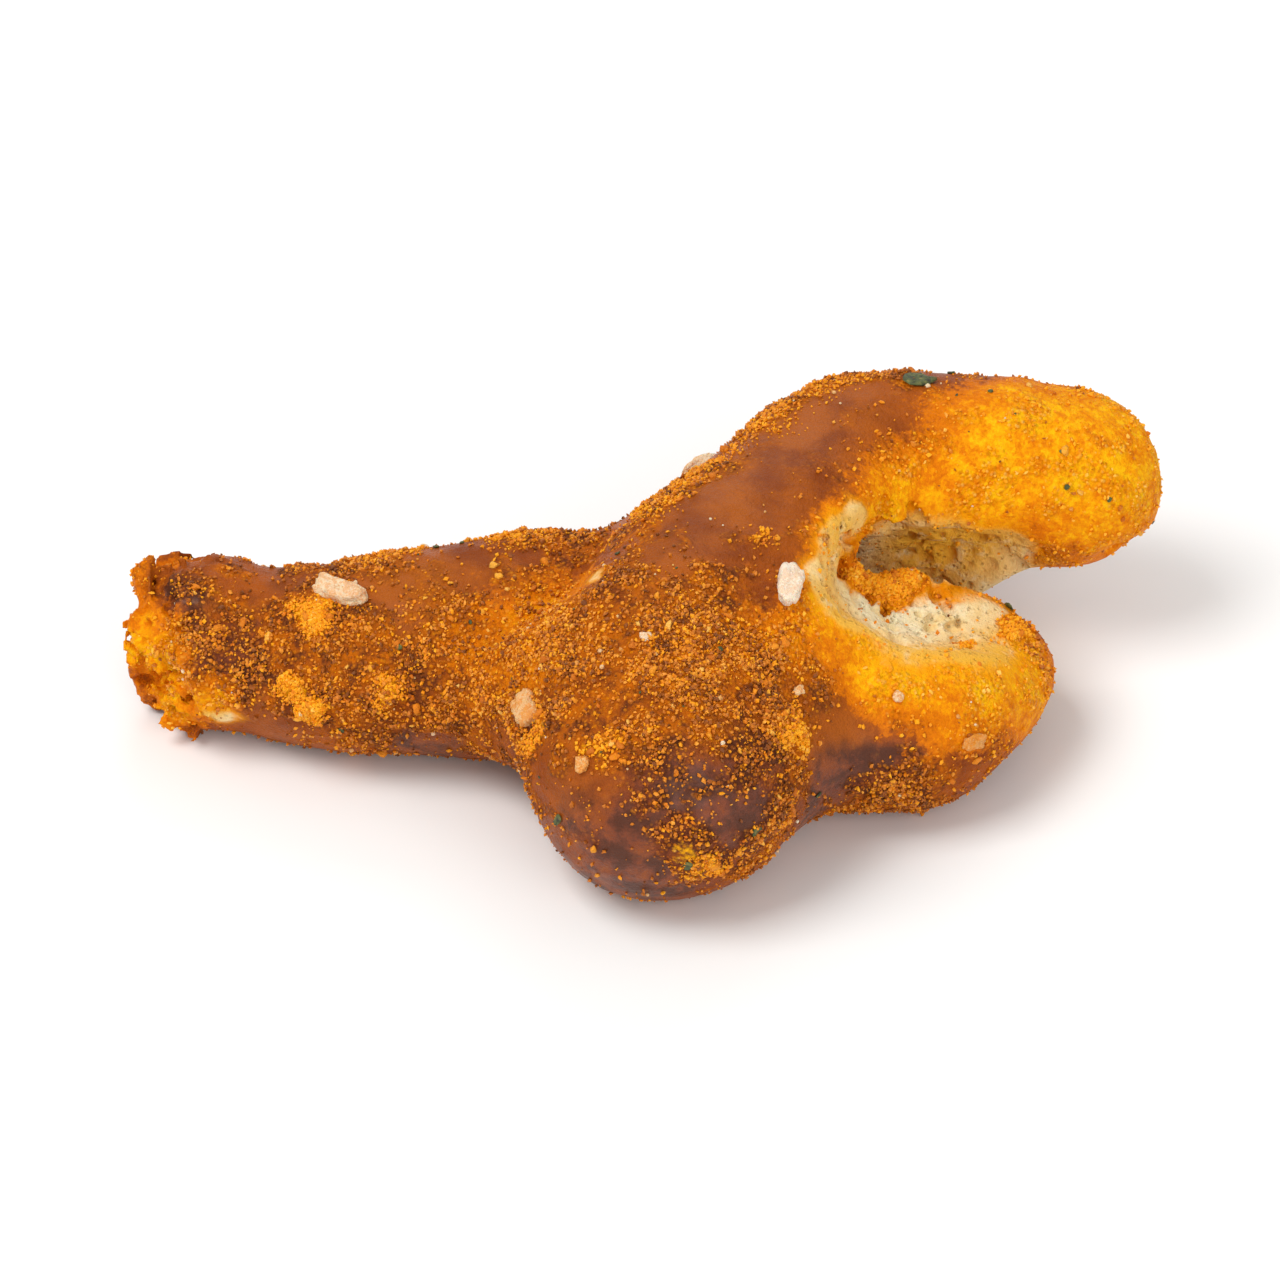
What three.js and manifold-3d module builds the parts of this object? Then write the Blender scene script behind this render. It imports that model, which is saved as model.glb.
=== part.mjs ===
/**
 * Hard pretzel bite: the crossing of a thick baked pretzel, snapped off by hand.
 *
 * Two ropes of dough cross and have baked into one piece. The lower rope runs from a broken arm
 * on the left to a short stub on the right. The upper rope starts as a round bulge in front,
 * climbs over the lower one and ends as a broken stub behind. Between the two stubs the dough
 * is torn open, and pieces of pretzel salt are baked onto the crust.
 *
 * Millimetres, +Z up. The piece stands on z = 0, with the origin under the middle of its box.
 */
import * as THREE from 'three';
import { MarchingCubes } from 'three/addons/objects/MarchingCubes.js';
import { ImprovedNoise } from 'three/addons/math/ImprovedNoise.js';
import { mergeVertices } from 'three/addons/utils/BufferGeometryUtils.js';
import Module from 'manifold-3d';

// ---------------------------------------------------------------- driving dimensions, mm

/** Routes of the ropes and lumps of dough: x, y, z of the middle and the radius there. */
const LOWER_ROPE = [
	[ - 22.1, 3.1, 4.5, 4.6 ],
	[ - 20.4, 3.1, 4.2, 4.3 ],
	[ - 15.5, 1.9, 4.6, 5.0 ],
	[ - 10.8, 1.8, 5.0, 5.35 ],
	[ - 6.8, 1.9, 5.3, 5.75 ],
	[ - 2.4, 2.5, 5.4, 5.5 ],
	[ 4.4, - 0.4, 5.2, 5.8 ],
	[ 9.3, - 2.8, 4.7, 5.1 ],
	[ 13.9, - 3.1, 4.3, 4.6 ],
	[ 16.7, - 0.8, 4.1, 3.8 ],
	[ 18.8, 1.6, 3.8, 2.9 ],
];
const UPPER_ROPE = [
	[ 0.7, - 9.2, 6.4, 6.4 ],
	[ 0.9, - 5.1, 7.9, 6.1 ],
	[ 2.8, 0.3, 9.2, 5.3 ],
	[ 6.9, 5.7, 9.5, 5.15 ],
	[ 11.2, 10.7, 9.4, 5.4 ],
	[ 16.4, 11.4, 9.4, 5.3 ],
	[ 22.8, 11.6, 8.8, 4.7 ],
];
const BELLY = [
	[ 2.5, - 9.0, 5.5, 5.5 ],
	[ 4.9, - 4.2, 6.4, 5.6 ],
	[ 6.6, - 0.9, 7.4, 5.9 ],
	[ 9.6, 3.9, 7.9, 5.7 ],
];
const WEB = [
	[ 9.0, 2.6, 5.0, 4.6 ],
	[ 12.6, 3.2, 4.4, 3.9 ],
	[ 15.4, 3.4, 3.8, 2.8 ],
];
const HEEL = [
	[ 4.0, 7.6, 4.6, 4.6 ],
	[ 9.0, 11.0, 4.6, 4.9 ],
	[ 14.6, 12.2, 5.2, 4.5 ],
];

/** How softly dough runs together: at the crease, from arm to bulge, between stubs, in a rope. */
const CREASE_BLEND = 1.4;
const BULGE_BLEND = 8.0;
const STUB_BLEND = 4.5;
const BODY_BLEND = 3.0;
const HEEL_BLEND = 3.5;

/** The crease is sharp up to here and gone there, to the right in x and to the front in -y. */
const CREASE_RIGHT = [ - 4, 3 ];
const CREASE_FRONT = [ 0.5, 5 ];

/** The bulge ends and the stubs begin between these places in x. */
const BULGE_TO_STUBS = [ 1, 6 ];

/** The crust is never quite smooth: height and length of its long swells and short lumps. */
const SWELL_HEIGHT = 0.30;
const SWELL_LENGTH = 6.5;
const LUMP_HEIGHT = 0.14;
const LUMP_LENGTH = 2.6;

/** The arm's broken end is rough as far as this from its tip. */
const TIP_X = - 25.5;
const TIP_ROUGH_LENGTH = 6.0;
const TIP_ROUGH_HEIGHT = 1.0;
const TIP_ROUGH_GRAIN = 2.7;

/** The mouth between the stubs: the route and size of the dough that is missing there. */
const MOUTH = [
	[ 11.6, - 2.2, 13.4, 2.6 ],
	[ 14.4, 0.7, 11.9, 4.2 ],
	[ 20.0, 1.6, 10.6, 4.4 ],
];
const MOUTH_BLEND = 0.9;

/**
 * Dough torn away with a rough face: middle, half sizes, turn about z and tilt about x.
 * First the cleft behind the mouth and its shallow end, then the front and top of the arm's
 * tip and the broken ends of the upper and the lower stub.
 */
const TEARS = [
	{ at: [ 15.4, 6.7, 6.6 ], half: [ 6.8, 1.7, 4.2 ], turn: 2, tilt: 33 },
	{ at: [ 13.0, 4.2, 9.8 ], half: [ 2.8, 2.0, 1.2 ], turn: 8, tilt: 0 },
	{ at: [ - 32.0, - 5.0, 2.0 ], half: [ 9.9, 9.9, 9.9 ], turn: 0, tilt: 0 },
	{ at: [ - 33.4, 8.9, 9.6 ], half: [ 8.4, 8.4, 8.4 ], turn: 0, tilt: 0 },
	{ at: [ 30.6, 18.9, 6.6 ], half: [ 9.0, 9.0, 9.0 ], turn: 0, tilt: 0 },
	{ at: [ 27.6, 5.2, 3.0 ], half: [ 6.0, 6.0, 6.0 ], turn: 0, tilt: 0 },
];
const TEAR_ROUGHNESS = 0.55;
const TEAR_GRAIN = 2.0;
const TEAR_FACE = 0.95;

/** Pretzel salt baked onto the crust: rough place, half sizes and turn in degrees. */
const SALT_GRAINS = [
	{ near: [ - 15.4, 0.7, 9.7 ], half: [ 1.45, 0.7, 0.6 ], turn: - 22 },
	{ near: [ 7.5, - 3.5, 13.2 ], half: [ 0.75, 1.2, 0.4 ], turn: - 8 },
	{ near: [ - 4.3, - 7.4, 7.0 ], half: [ 0.8, 0.65, 0.45 ], turn: 40 },
	{ near: [ - 1.6, - 10.8, 8.4 ], half: [ 0.6, 0.45, 0.35 ], turn: 75 },
	{ near: [ 0.4, - 7.9, 13.1 ], half: [ 0.45, 0.4, 0.35 ], turn: 10 },
	{ near: [ 7.8, - 7.9, 10.0 ], half: [ 0.4, 0.35, 0.3 ], turn: 30 },
	{ near: [ 13.0, - 6.1, 8.3 ], half: [ 0.45, 0.45, 0.35 ], turn: 55 },
	{ near: [ 16.9, - 6.3, 5.6 ], half: [ 0.9, 0.5, 0.35 ], turn: 20 },
	{ near: [ - 11.0, 6.8, 6.5 ], half: [ 1.2, 0.7, 0.5 ], turn: 65 },
	{ near: [ - 19.5, 6.8, 5.8 ], half: [ 0.7, 0.55, 0.4 ], turn: 15 },
	{ near: [ 3.5, 9.5, 10.5 ], half: [ 0.9, 0.7, 0.45 ], turn: 35 },
	{ near: [ 9.5, 16.5, 8.5 ], half: [ 1.3, 0.8, 0.55 ], turn: - 30 },
	{ near: [ 20.0, 16.4, 9.0 ], half: [ 0.8, 0.6, 0.45 ], turn: 80 },
];

/** Size of the skin's cells, and how far the dough reaches from the middle of its block. */
const SKIN_CELL = 1.15;
const DOUGH_REACH = 33;
const DOUGH_MIDDLE = new THREE.Vector3( 0, 0, 7 );
const MOST_SKIN_TRIANGLES = 60000;
const STEPS_PER_ROPE_POINT = 4;

/** The skin passes a grid point by at least this part of a cell, so that no triangle is a sliver. */
const LEAST_PASS = 0.08;

/** Corners closer together than this are one corner. */
const SAME_CORNER = 1e-4;

/** Depth of the block that cuts the sole flat. */
const SOLE_CUT_DEPTH = 20;

/** Steps for finding the crust, and how far each crystal is rolled from the one before, radians. */
const NORMAL_STEP = 0.05;
const CRUST_STEPS = 6;
const CRYSTAL_ROLL = 1.7;

const CRUST = { color: 0xa65a1e, roughness: 0.55, metalness: 0.0 };

// ---------------------------------------------------------------- the dough as a distance field

const noise = new ImprovedNoise();

/** Uneven height, about -1 to 1, with waves of the given length; a shift gives other waves. */
function unevenness( point, length, shift = 0 ) {

	return noise.noise( point.x / length + shift, point.y / length + shift, point.z / length - shift );

}

/** Samples a rope's route and thickness evenly into short round links. */
function ropeLinks( stations ) {

	const route = new THREE.CatmullRomCurve3( stations.map( ( [ x, y, z ] ) => new THREE.Vector3( x, y, z ) ) );
	const thickness = new THREE.CatmullRomCurve3( stations.map( ( s ) => new THREE.Vector3( s[ 3 ], 0, 0 ) ) );
	const steps = ( stations.length - 1 ) * STEPS_PER_ROPE_POINT;
	const links = [];
	for ( let i = 0; i < steps; i ++ ) {

		const start = route.getPoint( i / steps );
		const end = route.getPoint( ( i + 1 ) / steps );
		links.push( {
			start,
			along: end.clone().sub( start ),
			startRadius: thickness.getPoint( i / steps ).x,
			endRadius: thickness.getPoint( ( i + 1 ) / steps ).x,
		} );

	}

	return links;

}

/** Distance from a point to the surface of a rope, negative inside it. */
function ropeDistance( links, point ) {

	let nearest = Infinity;
	for ( const { start, along, startRadius, endRadius } of links ) {

		const dx = point.x - start.x;
		const dy = point.y - start.y;
		const dz = point.z - start.z;
		const length2 = along.lengthSq();
		const t = THREE.MathUtils.clamp( ( dx * along.x + dy * along.y + dz * along.z ) / length2, 0, 1 );
		const gap = Math.hypot( dx - t * along.x, dy - t * along.y, dz - t * along.z );
		nearest = Math.min( nearest, gap - THREE.MathUtils.lerp( startRadius, endRadius, t ) );

	}

	return nearest;

}

/** Joins two distances with a soft fillet of about the given width. */
function blend( a, b, width ) {

	const h = Math.max( width - Math.abs( a - b ), 0 ) / width;
	return Math.min( a, b ) - h * h * width / 4;

}

const lowerRope = ropeLinks( LOWER_ROPE );
const upperRope = ropeLinks( UPPER_ROPE );
const belly = ropeLinks( BELLY );
const web = ropeLinks( WEB );
const heel = ropeLinks( HEEL );
const mouth = ropeLinks( MOUTH );

/** Distance from a point to the crust of the whole piece, before it was torn. */
function doughDistance( point ) {

	const toRight = THREE.MathUtils.smoothstep( point.x, ...CREASE_RIGHT );
	const toFront = THREE.MathUtils.smoothstep( - point.y, ...CREASE_FRONT );
	const toStubs = THREE.MathUtils.smoothstep( point.x, ...BULGE_TO_STUBS );
	const openBlend = THREE.MathUtils.lerp( BULGE_BLEND, STUB_BLEND, Math.max( toStubs, toRight - toFront ) );
	const crossingBlend = THREE.MathUtils.lerp( CREASE_BLEND, openBlend, Math.max( toRight, toFront ) );
	const lower = blend( ropeDistance( lowerRope, point ), ropeDistance( web, point ), BODY_BLEND );
	const upper = blend( ropeDistance( upperRope, point ), ropeDistance( heel, point ), HEEL_BLEND );
	let distance = blend( lower, upper, crossingBlend );
	distance = blend( distance, ropeDistance( belly, point ), BODY_BLEND );
	distance = - blend( - distance, ropeDistance( mouth, point ), MOUTH_BLEND );
	distance += SWELL_HEIGHT * unevenness( point, SWELL_LENGTH );
	distance += LUMP_HEIGHT * unevenness( point, LUMP_LENGTH, 7.3 );

	const fromTip = ( point.x - TIP_X ) / TIP_ROUGH_LENGTH;
	const rough = THREE.MathUtils.clamp( 1 - fromTip, 0, 1 );
	return distance + rough * TIP_ROUGH_HEIGHT * unevenness( point, TIP_ROUGH_GRAIN, 3.1 );

}

/** The crust's surface: the skin of the distance field, on a grid of cubes. */
function doughSkin() {

	const size = Math.ceil( 2 * DOUGH_REACH / SKIN_CELL );
	const cubes = new MarchingCubes( size, new THREE.MeshBasicMaterial(), false, false, MOST_SKIN_TRIANGLES );
	const point = new THREE.Vector3();
	const leastDistance = LEAST_PASS * SKIN_CELL;
	for ( let i = 0; i < cubes.size3; i ++ ) {

		const column = i % size;
		const row = Math.floor( i / size ) % size;
		const layer = Math.floor( i / cubes.size2 );
		point.set( column, row, layer ).subScalar( cubes.halfsize ).multiplyScalar( DOUGH_REACH / cubes.halfsize );
		const distance = doughDistance( point.add( DOUGH_MIDDLE ) );
		const clear = Math.sign( distance ) * Math.max( Math.abs( distance ), leastDistance );
		cubes.field[ i ] = cubes.isolation - clear;

	}

	cubes.update();
	const positions = cubes.positionArray.slice( 0, cubes.geometry.drawRange.count * 3 );
	const skin = new THREE.BufferGeometry();
	skin.setAttribute( 'position', new THREE.BufferAttribute( positions, 3 ) );
	skin.scale( DOUGH_REACH, DOUGH_REACH, DOUGH_REACH );
	skin.translate( DOUGH_MIDDLE.x, DOUGH_MIDDLE.y, DOUGH_MIDDLE.z );
	return skin;

}

// ---------------------------------------------------------------- solids and cutters

const wasm = await Module();
wasm.setup();

/** Makes a closed geometry into a solid that can be joined and cut. */
function solidOf( geometry ) {

	const bare = geometry.clone();
	bare.deleteAttribute( 'normal' );
	bare.deleteAttribute( 'uv' );
	const merged = mergeVertices( bare, SAME_CORNER );
	return new wasm.Manifold( new wasm.Mesh( {
		numProp: 3,
		vertProperties: new Float32Array( merged.attributes.position.array ),
		triVerts: new Uint32Array( merged.index.array ),
	} ) );

}

/** Gives a solid back as a geometry with normals. */
function geometryOf( solid ) {

	const mesh = solid.getMesh();
	const geometry = new THREE.BufferGeometry();
	geometry.setAttribute( 'position', new THREE.BufferAttribute( mesh.vertProperties, 3 ) );
	geometry.setIndex( new THREE.BufferAttribute( mesh.triVerts, 1 ) );
	geometry.computeVertexNormals();
	return geometry;

}

/** A rough round scoop: a ball with a torn surface, stretched, tilted and turned. */
function scoop( { at, half, turn, tilt } ) {

	const detail = Math.round( Math.max( ...half ) / TEAR_FACE );
	const ball = new THREE.IcosahedronGeometry( 1, detail );
	ball.scale( ...half );
	ball.rotateX( THREE.MathUtils.degToRad( tilt ) );
	ball.rotateZ( THREE.MathUtils.degToRad( turn ) );
	ball.translate( ...at );
	const points = ball.attributes.position;
	const middle = new THREE.Vector3( ...at );
	const point = new THREE.Vector3();
	for ( let i = 0; i < points.count; i ++ ) {

		point.fromBufferAttribute( points, i );
		const push = TEAR_ROUGHNESS * unevenness( point, TEAR_GRAIN, 5.7 );
		point.addScaledVector( point.clone().sub( middle ).normalize(), push );
		points.setXYZ( i, point.x, point.y, point.z );

	}

	return solidOf( ball );

}

/** Direction in which the dough's distance grows fastest: straight out of the crust. */
function crustNormal( point ) {

	const normal = new THREE.Vector3();
	for ( const axis of [ 'x', 'y', 'z' ] ) {

		const ahead = point.clone();
		const behind = point.clone();
		ahead[ axis ] += NORMAL_STEP;
		behind[ axis ] -= NORMAL_STEP;
		normal[ axis ] = doughDistance( ahead ) - doughDistance( behind );

	}

	return normal.normalize();

}

/** The nearest place on the crust to a point near it. */
function onCrust( near ) {

	const point = new THREE.Vector3( ...near );
	for ( let i = 0; i < CRUST_STEPS; i ++ ) {

		point.addScaledVector( crustNormal( point ), - doughDistance( point ) );

	}

	return point;

}

/** A chipped crystal of salt, sunk by half into the crust. */
function saltGrain( { near, half, turn }, index ) {

	const place = onCrust( near );
	const crystal = new THREE.IcosahedronGeometry( 1, 0 );
	crystal.rotateX( index * CRYSTAL_ROLL );
	crystal.scale( ...half );
	crystal.rotateZ( THREE.MathUtils.degToRad( turn ) );
	const upright = new THREE.Vector3( 0, 0, 1 );
	crystal.applyQuaternion( new THREE.Quaternion().setFromUnitVectors( upright, crustNormal( place ) ) );
	crystal.translate( place.x, place.y, place.z );
	return solidOf( crystal );

}

/** The whole bite: dough with a flat sole, the torn mouth cut out and the salt on top. */
function pretzelBite() {

	const under = new THREE.BoxGeometry( 3 * DOUGH_REACH, 3 * DOUGH_REACH, SOLE_CUT_DEPTH );
	under.translate( 0, 0, - SOLE_CUT_DEPTH / 2 );
	let bite = solidOf( doughSkin() ).subtract( solidOf( under ) );
	for ( const hollow of TEARS ) bite = bite.subtract( scoop( hollow ) );
	SALT_GRAINS.forEach( ( grain, index ) => {

		bite = bite.add( saltGrain( grain, index ) );

	} );
	const geometry = geometryOf( bite );
	geometry.computeBoundingBox();
	const middle = geometry.boundingBox.getCenter( new THREE.Vector3() );
	geometry.translate( - middle.x, - middle.y, 0 );
	return geometry;

}

const bite = new THREE.Mesh( pretzelBite(), new THREE.MeshStandardMaterial( CRUST ) );
bite.name = 'pretzel_bite';

const model = new THREE.Group();
model.add( bite );

export default model;
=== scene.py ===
"""Hard pretzel bite: crust, torn crumb, salt, seasoning and herb flecks on the form of the solid.

The sculpting classes work in millimetres. Every Blender object is in metres, in the solid's frame.
"""

import logging
import math
from collections.abc import Callable, Iterator, Sequence
from dataclasses import dataclass, field
from enum import Enum
from itertools import product
from typing import Any, ClassVar

import bmesh
import bpy
import numpy as np
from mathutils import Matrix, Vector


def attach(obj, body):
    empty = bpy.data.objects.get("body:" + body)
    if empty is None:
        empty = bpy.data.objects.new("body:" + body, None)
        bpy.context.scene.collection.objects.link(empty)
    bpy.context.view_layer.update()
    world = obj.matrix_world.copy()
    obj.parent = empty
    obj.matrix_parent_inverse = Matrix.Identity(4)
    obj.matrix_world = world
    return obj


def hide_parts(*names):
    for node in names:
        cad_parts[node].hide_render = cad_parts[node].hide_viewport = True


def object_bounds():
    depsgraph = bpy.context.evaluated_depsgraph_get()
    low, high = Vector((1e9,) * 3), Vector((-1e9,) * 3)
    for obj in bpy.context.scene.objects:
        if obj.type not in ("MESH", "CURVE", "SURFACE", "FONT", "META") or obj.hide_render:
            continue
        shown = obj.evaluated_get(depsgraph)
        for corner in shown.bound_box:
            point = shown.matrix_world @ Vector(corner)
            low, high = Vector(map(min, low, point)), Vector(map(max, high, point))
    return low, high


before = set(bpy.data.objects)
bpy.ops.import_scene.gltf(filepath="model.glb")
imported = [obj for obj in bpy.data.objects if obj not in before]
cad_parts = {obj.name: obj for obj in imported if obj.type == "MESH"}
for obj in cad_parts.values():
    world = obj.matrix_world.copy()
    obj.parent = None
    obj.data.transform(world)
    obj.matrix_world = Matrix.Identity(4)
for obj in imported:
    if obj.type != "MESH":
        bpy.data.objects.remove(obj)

import openvdb
from mathutils import Matrix, Vector
from mathutils.bvhtree import BVHTree

LOG = logging.getLogger("pretzel_bite")

MM = 0.001
NODE = "pretzel_bite"
BODY = "root"
CAD_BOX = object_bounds()

# How far the solid was moved in x and y to stand over the middle of its box, in mm.
RECENTRED = np.array([-0.34, -0.69, 0.0])

BOX_LOW, BOX_HIGH = (np.array(corner) / MM for corner in CAD_BOX)

Point = tuple[float, float, float]
Station = tuple[float, float, float, float]
Span = tuple[float, float]


# ---------------------------------------------------------------- the dough, in mm


def soft_join(a: np.ndarray, b: np.ndarray, width: float | np.ndarray) -> np.ndarray:
    """Joins two distances with a fillet.

    Args:
        a: Distances to the first form.
        b: Distances to the second form.
        width: About how wide the fillet is.

    Returns:
        Distances to both forms together.
    """
    near = np.clip(width - np.abs(a - b), 0, None) / width
    return np.minimum(a, b) - near * near * width / 4


def ease(value: np.ndarray, low: float, high: float) -> np.ndarray:
    """Rises smoothly from 0 at low to 1 at high."""
    t = np.clip((value - low) / (high - low), 0, 1)
    return t * t * (3 - 2 * t)


def turn(degrees: float, axis: str) -> Matrix:
    """A turn by so many degrees round an axis."""
    return Matrix.Rotation(math.radians(degrees), 3, axis)


@dataclass(frozen=True)
class Rope:
    """A length of dough, given by x, y, z of its middle and its radius at a few stations."""

    stations: tuple[Station, ...]
    steps: int = 4

    def line(self) -> np.ndarray:
        """A smooth curve through the stations.

        Returns:
            Points and radii along it, one a row.
        """
        s = np.array(self.stations, float)
        ends = np.vstack([2 * s[0] - s[1], s, 2 * s[-1] - s[-2]])
        t = np.linspace(0, 1, self.steps, endpoint=False)[:, None]
        parts = []
        for a, b, c, d in zip(ends, ends[1:], ends[2:], ends[3:]):
            bend = (2 * a - 5 * b + 4 * c - d) * t**2 + (3 * b - a - 3 * c + d) * t**3
            parts.append((2 * b + (c - a) * t + bend) / 2)
        return np.vstack([*parts, s[-1:]])

    def distance(self, points: np.ndarray) -> np.ndarray:
        """Distance from points to the rope's surface, negative inside.

        Args:
            points: Places in mm, one a row.

        Returns:
            One distance for each place.
        """
        line = self.line()
        nearest = np.full(len(points), np.inf)
        for start, end in zip(line, line[1:]):
            along = end[:3] - start[:3]
            offset = points - start[:3]
            t = np.clip(offset @ along / (along @ along), 0, 1)
            gap = np.linalg.norm(offset - t[:, None] * along, axis=1)
            nearest = np.minimum(nearest, gap - (start[3] + t * (end[3] - start[3])))
        return nearest


@dataclass(frozen=True)
class Tear:
    """A rough round scoop of dough torn away: middle, half sizes, turn and tilt in degrees."""

    at: Point
    half: Point
    turn: float = 0.0
    tilt: float = 0.0

    def distance(self, points: np.ndarray) -> np.ndarray:
        """About how far points are from the scoop's surface.

        Args:
            points: Places in mm, one a row.

        Returns:
            One distance for each place, negative inside.
        """
        local = (points - np.array(self.at)) @ np.array(turn(self.turn, "Z") @ turn(self.tilt, "X"))
        size = np.array(self.half)
        scaled = np.linalg.norm(local / size, axis=1)
        slope = np.linalg.norm(local / size**2, axis=1)
        return scaled * (scaled - 1) / np.maximum(slope, 1e-6)


@dataclass(frozen=True)
class Chunk:
    """A blocky lump left standing on a broken end: middle, half sizes, tilt and roll in degrees."""

    at: Point
    half: Point
    tilt: float = 0.0
    roll: float = 0.0

    def distance(self, points: np.ndarray) -> np.ndarray:
        """How far points are from the lump's surface.

        Args:
            points: Places in mm, one a row.

        Returns:
            One distance for each place, negative inside.
        """
        local = (points - np.array(self.at)) @ np.array(turn(self.tilt, "X") @ turn(self.roll, "Y"))
        beyond = np.abs(local) - np.array(self.half)
        return np.linalg.norm(np.clip(beyond, 0, None), axis=1) + np.minimum(beyond.max(1), 0)


# Steps to the corners of a cell of space, and to the cell itself and the cells around it.
CORNERS = tuple(product((0, 1), repeat=3))
AROUND = tuple(product((-1, 0, 1), repeat=3))


def corner_share(within: np.ndarray, corner: tuple[int, int, int]) -> np.ndarray:
    """How much a corner of a cell counts for places within it.

    Args:
        within: Where the places lie in their cells, from 0 to 1 along each axis.
        corner: 0 or 1 along each axis.

    Returns:
        One share for each place, from 0 to 1.
    """
    share = np.abs(1 - np.array(corner) - within)
    return share[:, 0] * share[:, 1] * share[:, 2]


class Sampled:
    """A slow field worked out on a coarse block of places and read off between them."""

    # Slightly more than a cell, so that the far corner of the last cell is still in the block.
    LAST_CELL = 1.001

    def __init__(self, field_at: Callable[[np.ndarray], np.ndarray], low: np.ndarray, high: np.ndarray,
                 step: float = 0.5) -> None:
        """Works the field out.

        Args:
            field_at: Gives one value for each place in mm.
            low: The block's low corner in mm.
            high: The block's high corner in mm.
            step: How far apart the places are in mm.
        """
        self.low, self.step = low - step, step
        self.shape = tuple(np.ceil((high - low) / step).astype(int) + 4)
        rows = np.indices(self.shape).reshape(3, -1).T
        self.values = field_at(self.low + rows * step)

    def __call__(self, points: np.ndarray) -> np.ndarray:
        """Reads the field off.

        Args:
            points: Places in mm, one a row.

        Returns:
            The field's value at each place.
        """
        q = (points - self.low) / self.step
        q = np.clip(q, 0, np.array(self.shape) - self.LAST_CELL)
        corner = q.astype(np.int64)
        f = q - corner
        first = (corner[:, 0] * self.shape[1] + corner[:, 1]) * self.shape[2] + corner[:, 2]
        total = np.zeros(len(points))
        for x, y, z in CORNERS:
            row = first + (x * self.shape[1] + y) * self.shape[2] + z
            total += corner_share(f, (x, y, z)) * self.values[row]
        return total


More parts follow.
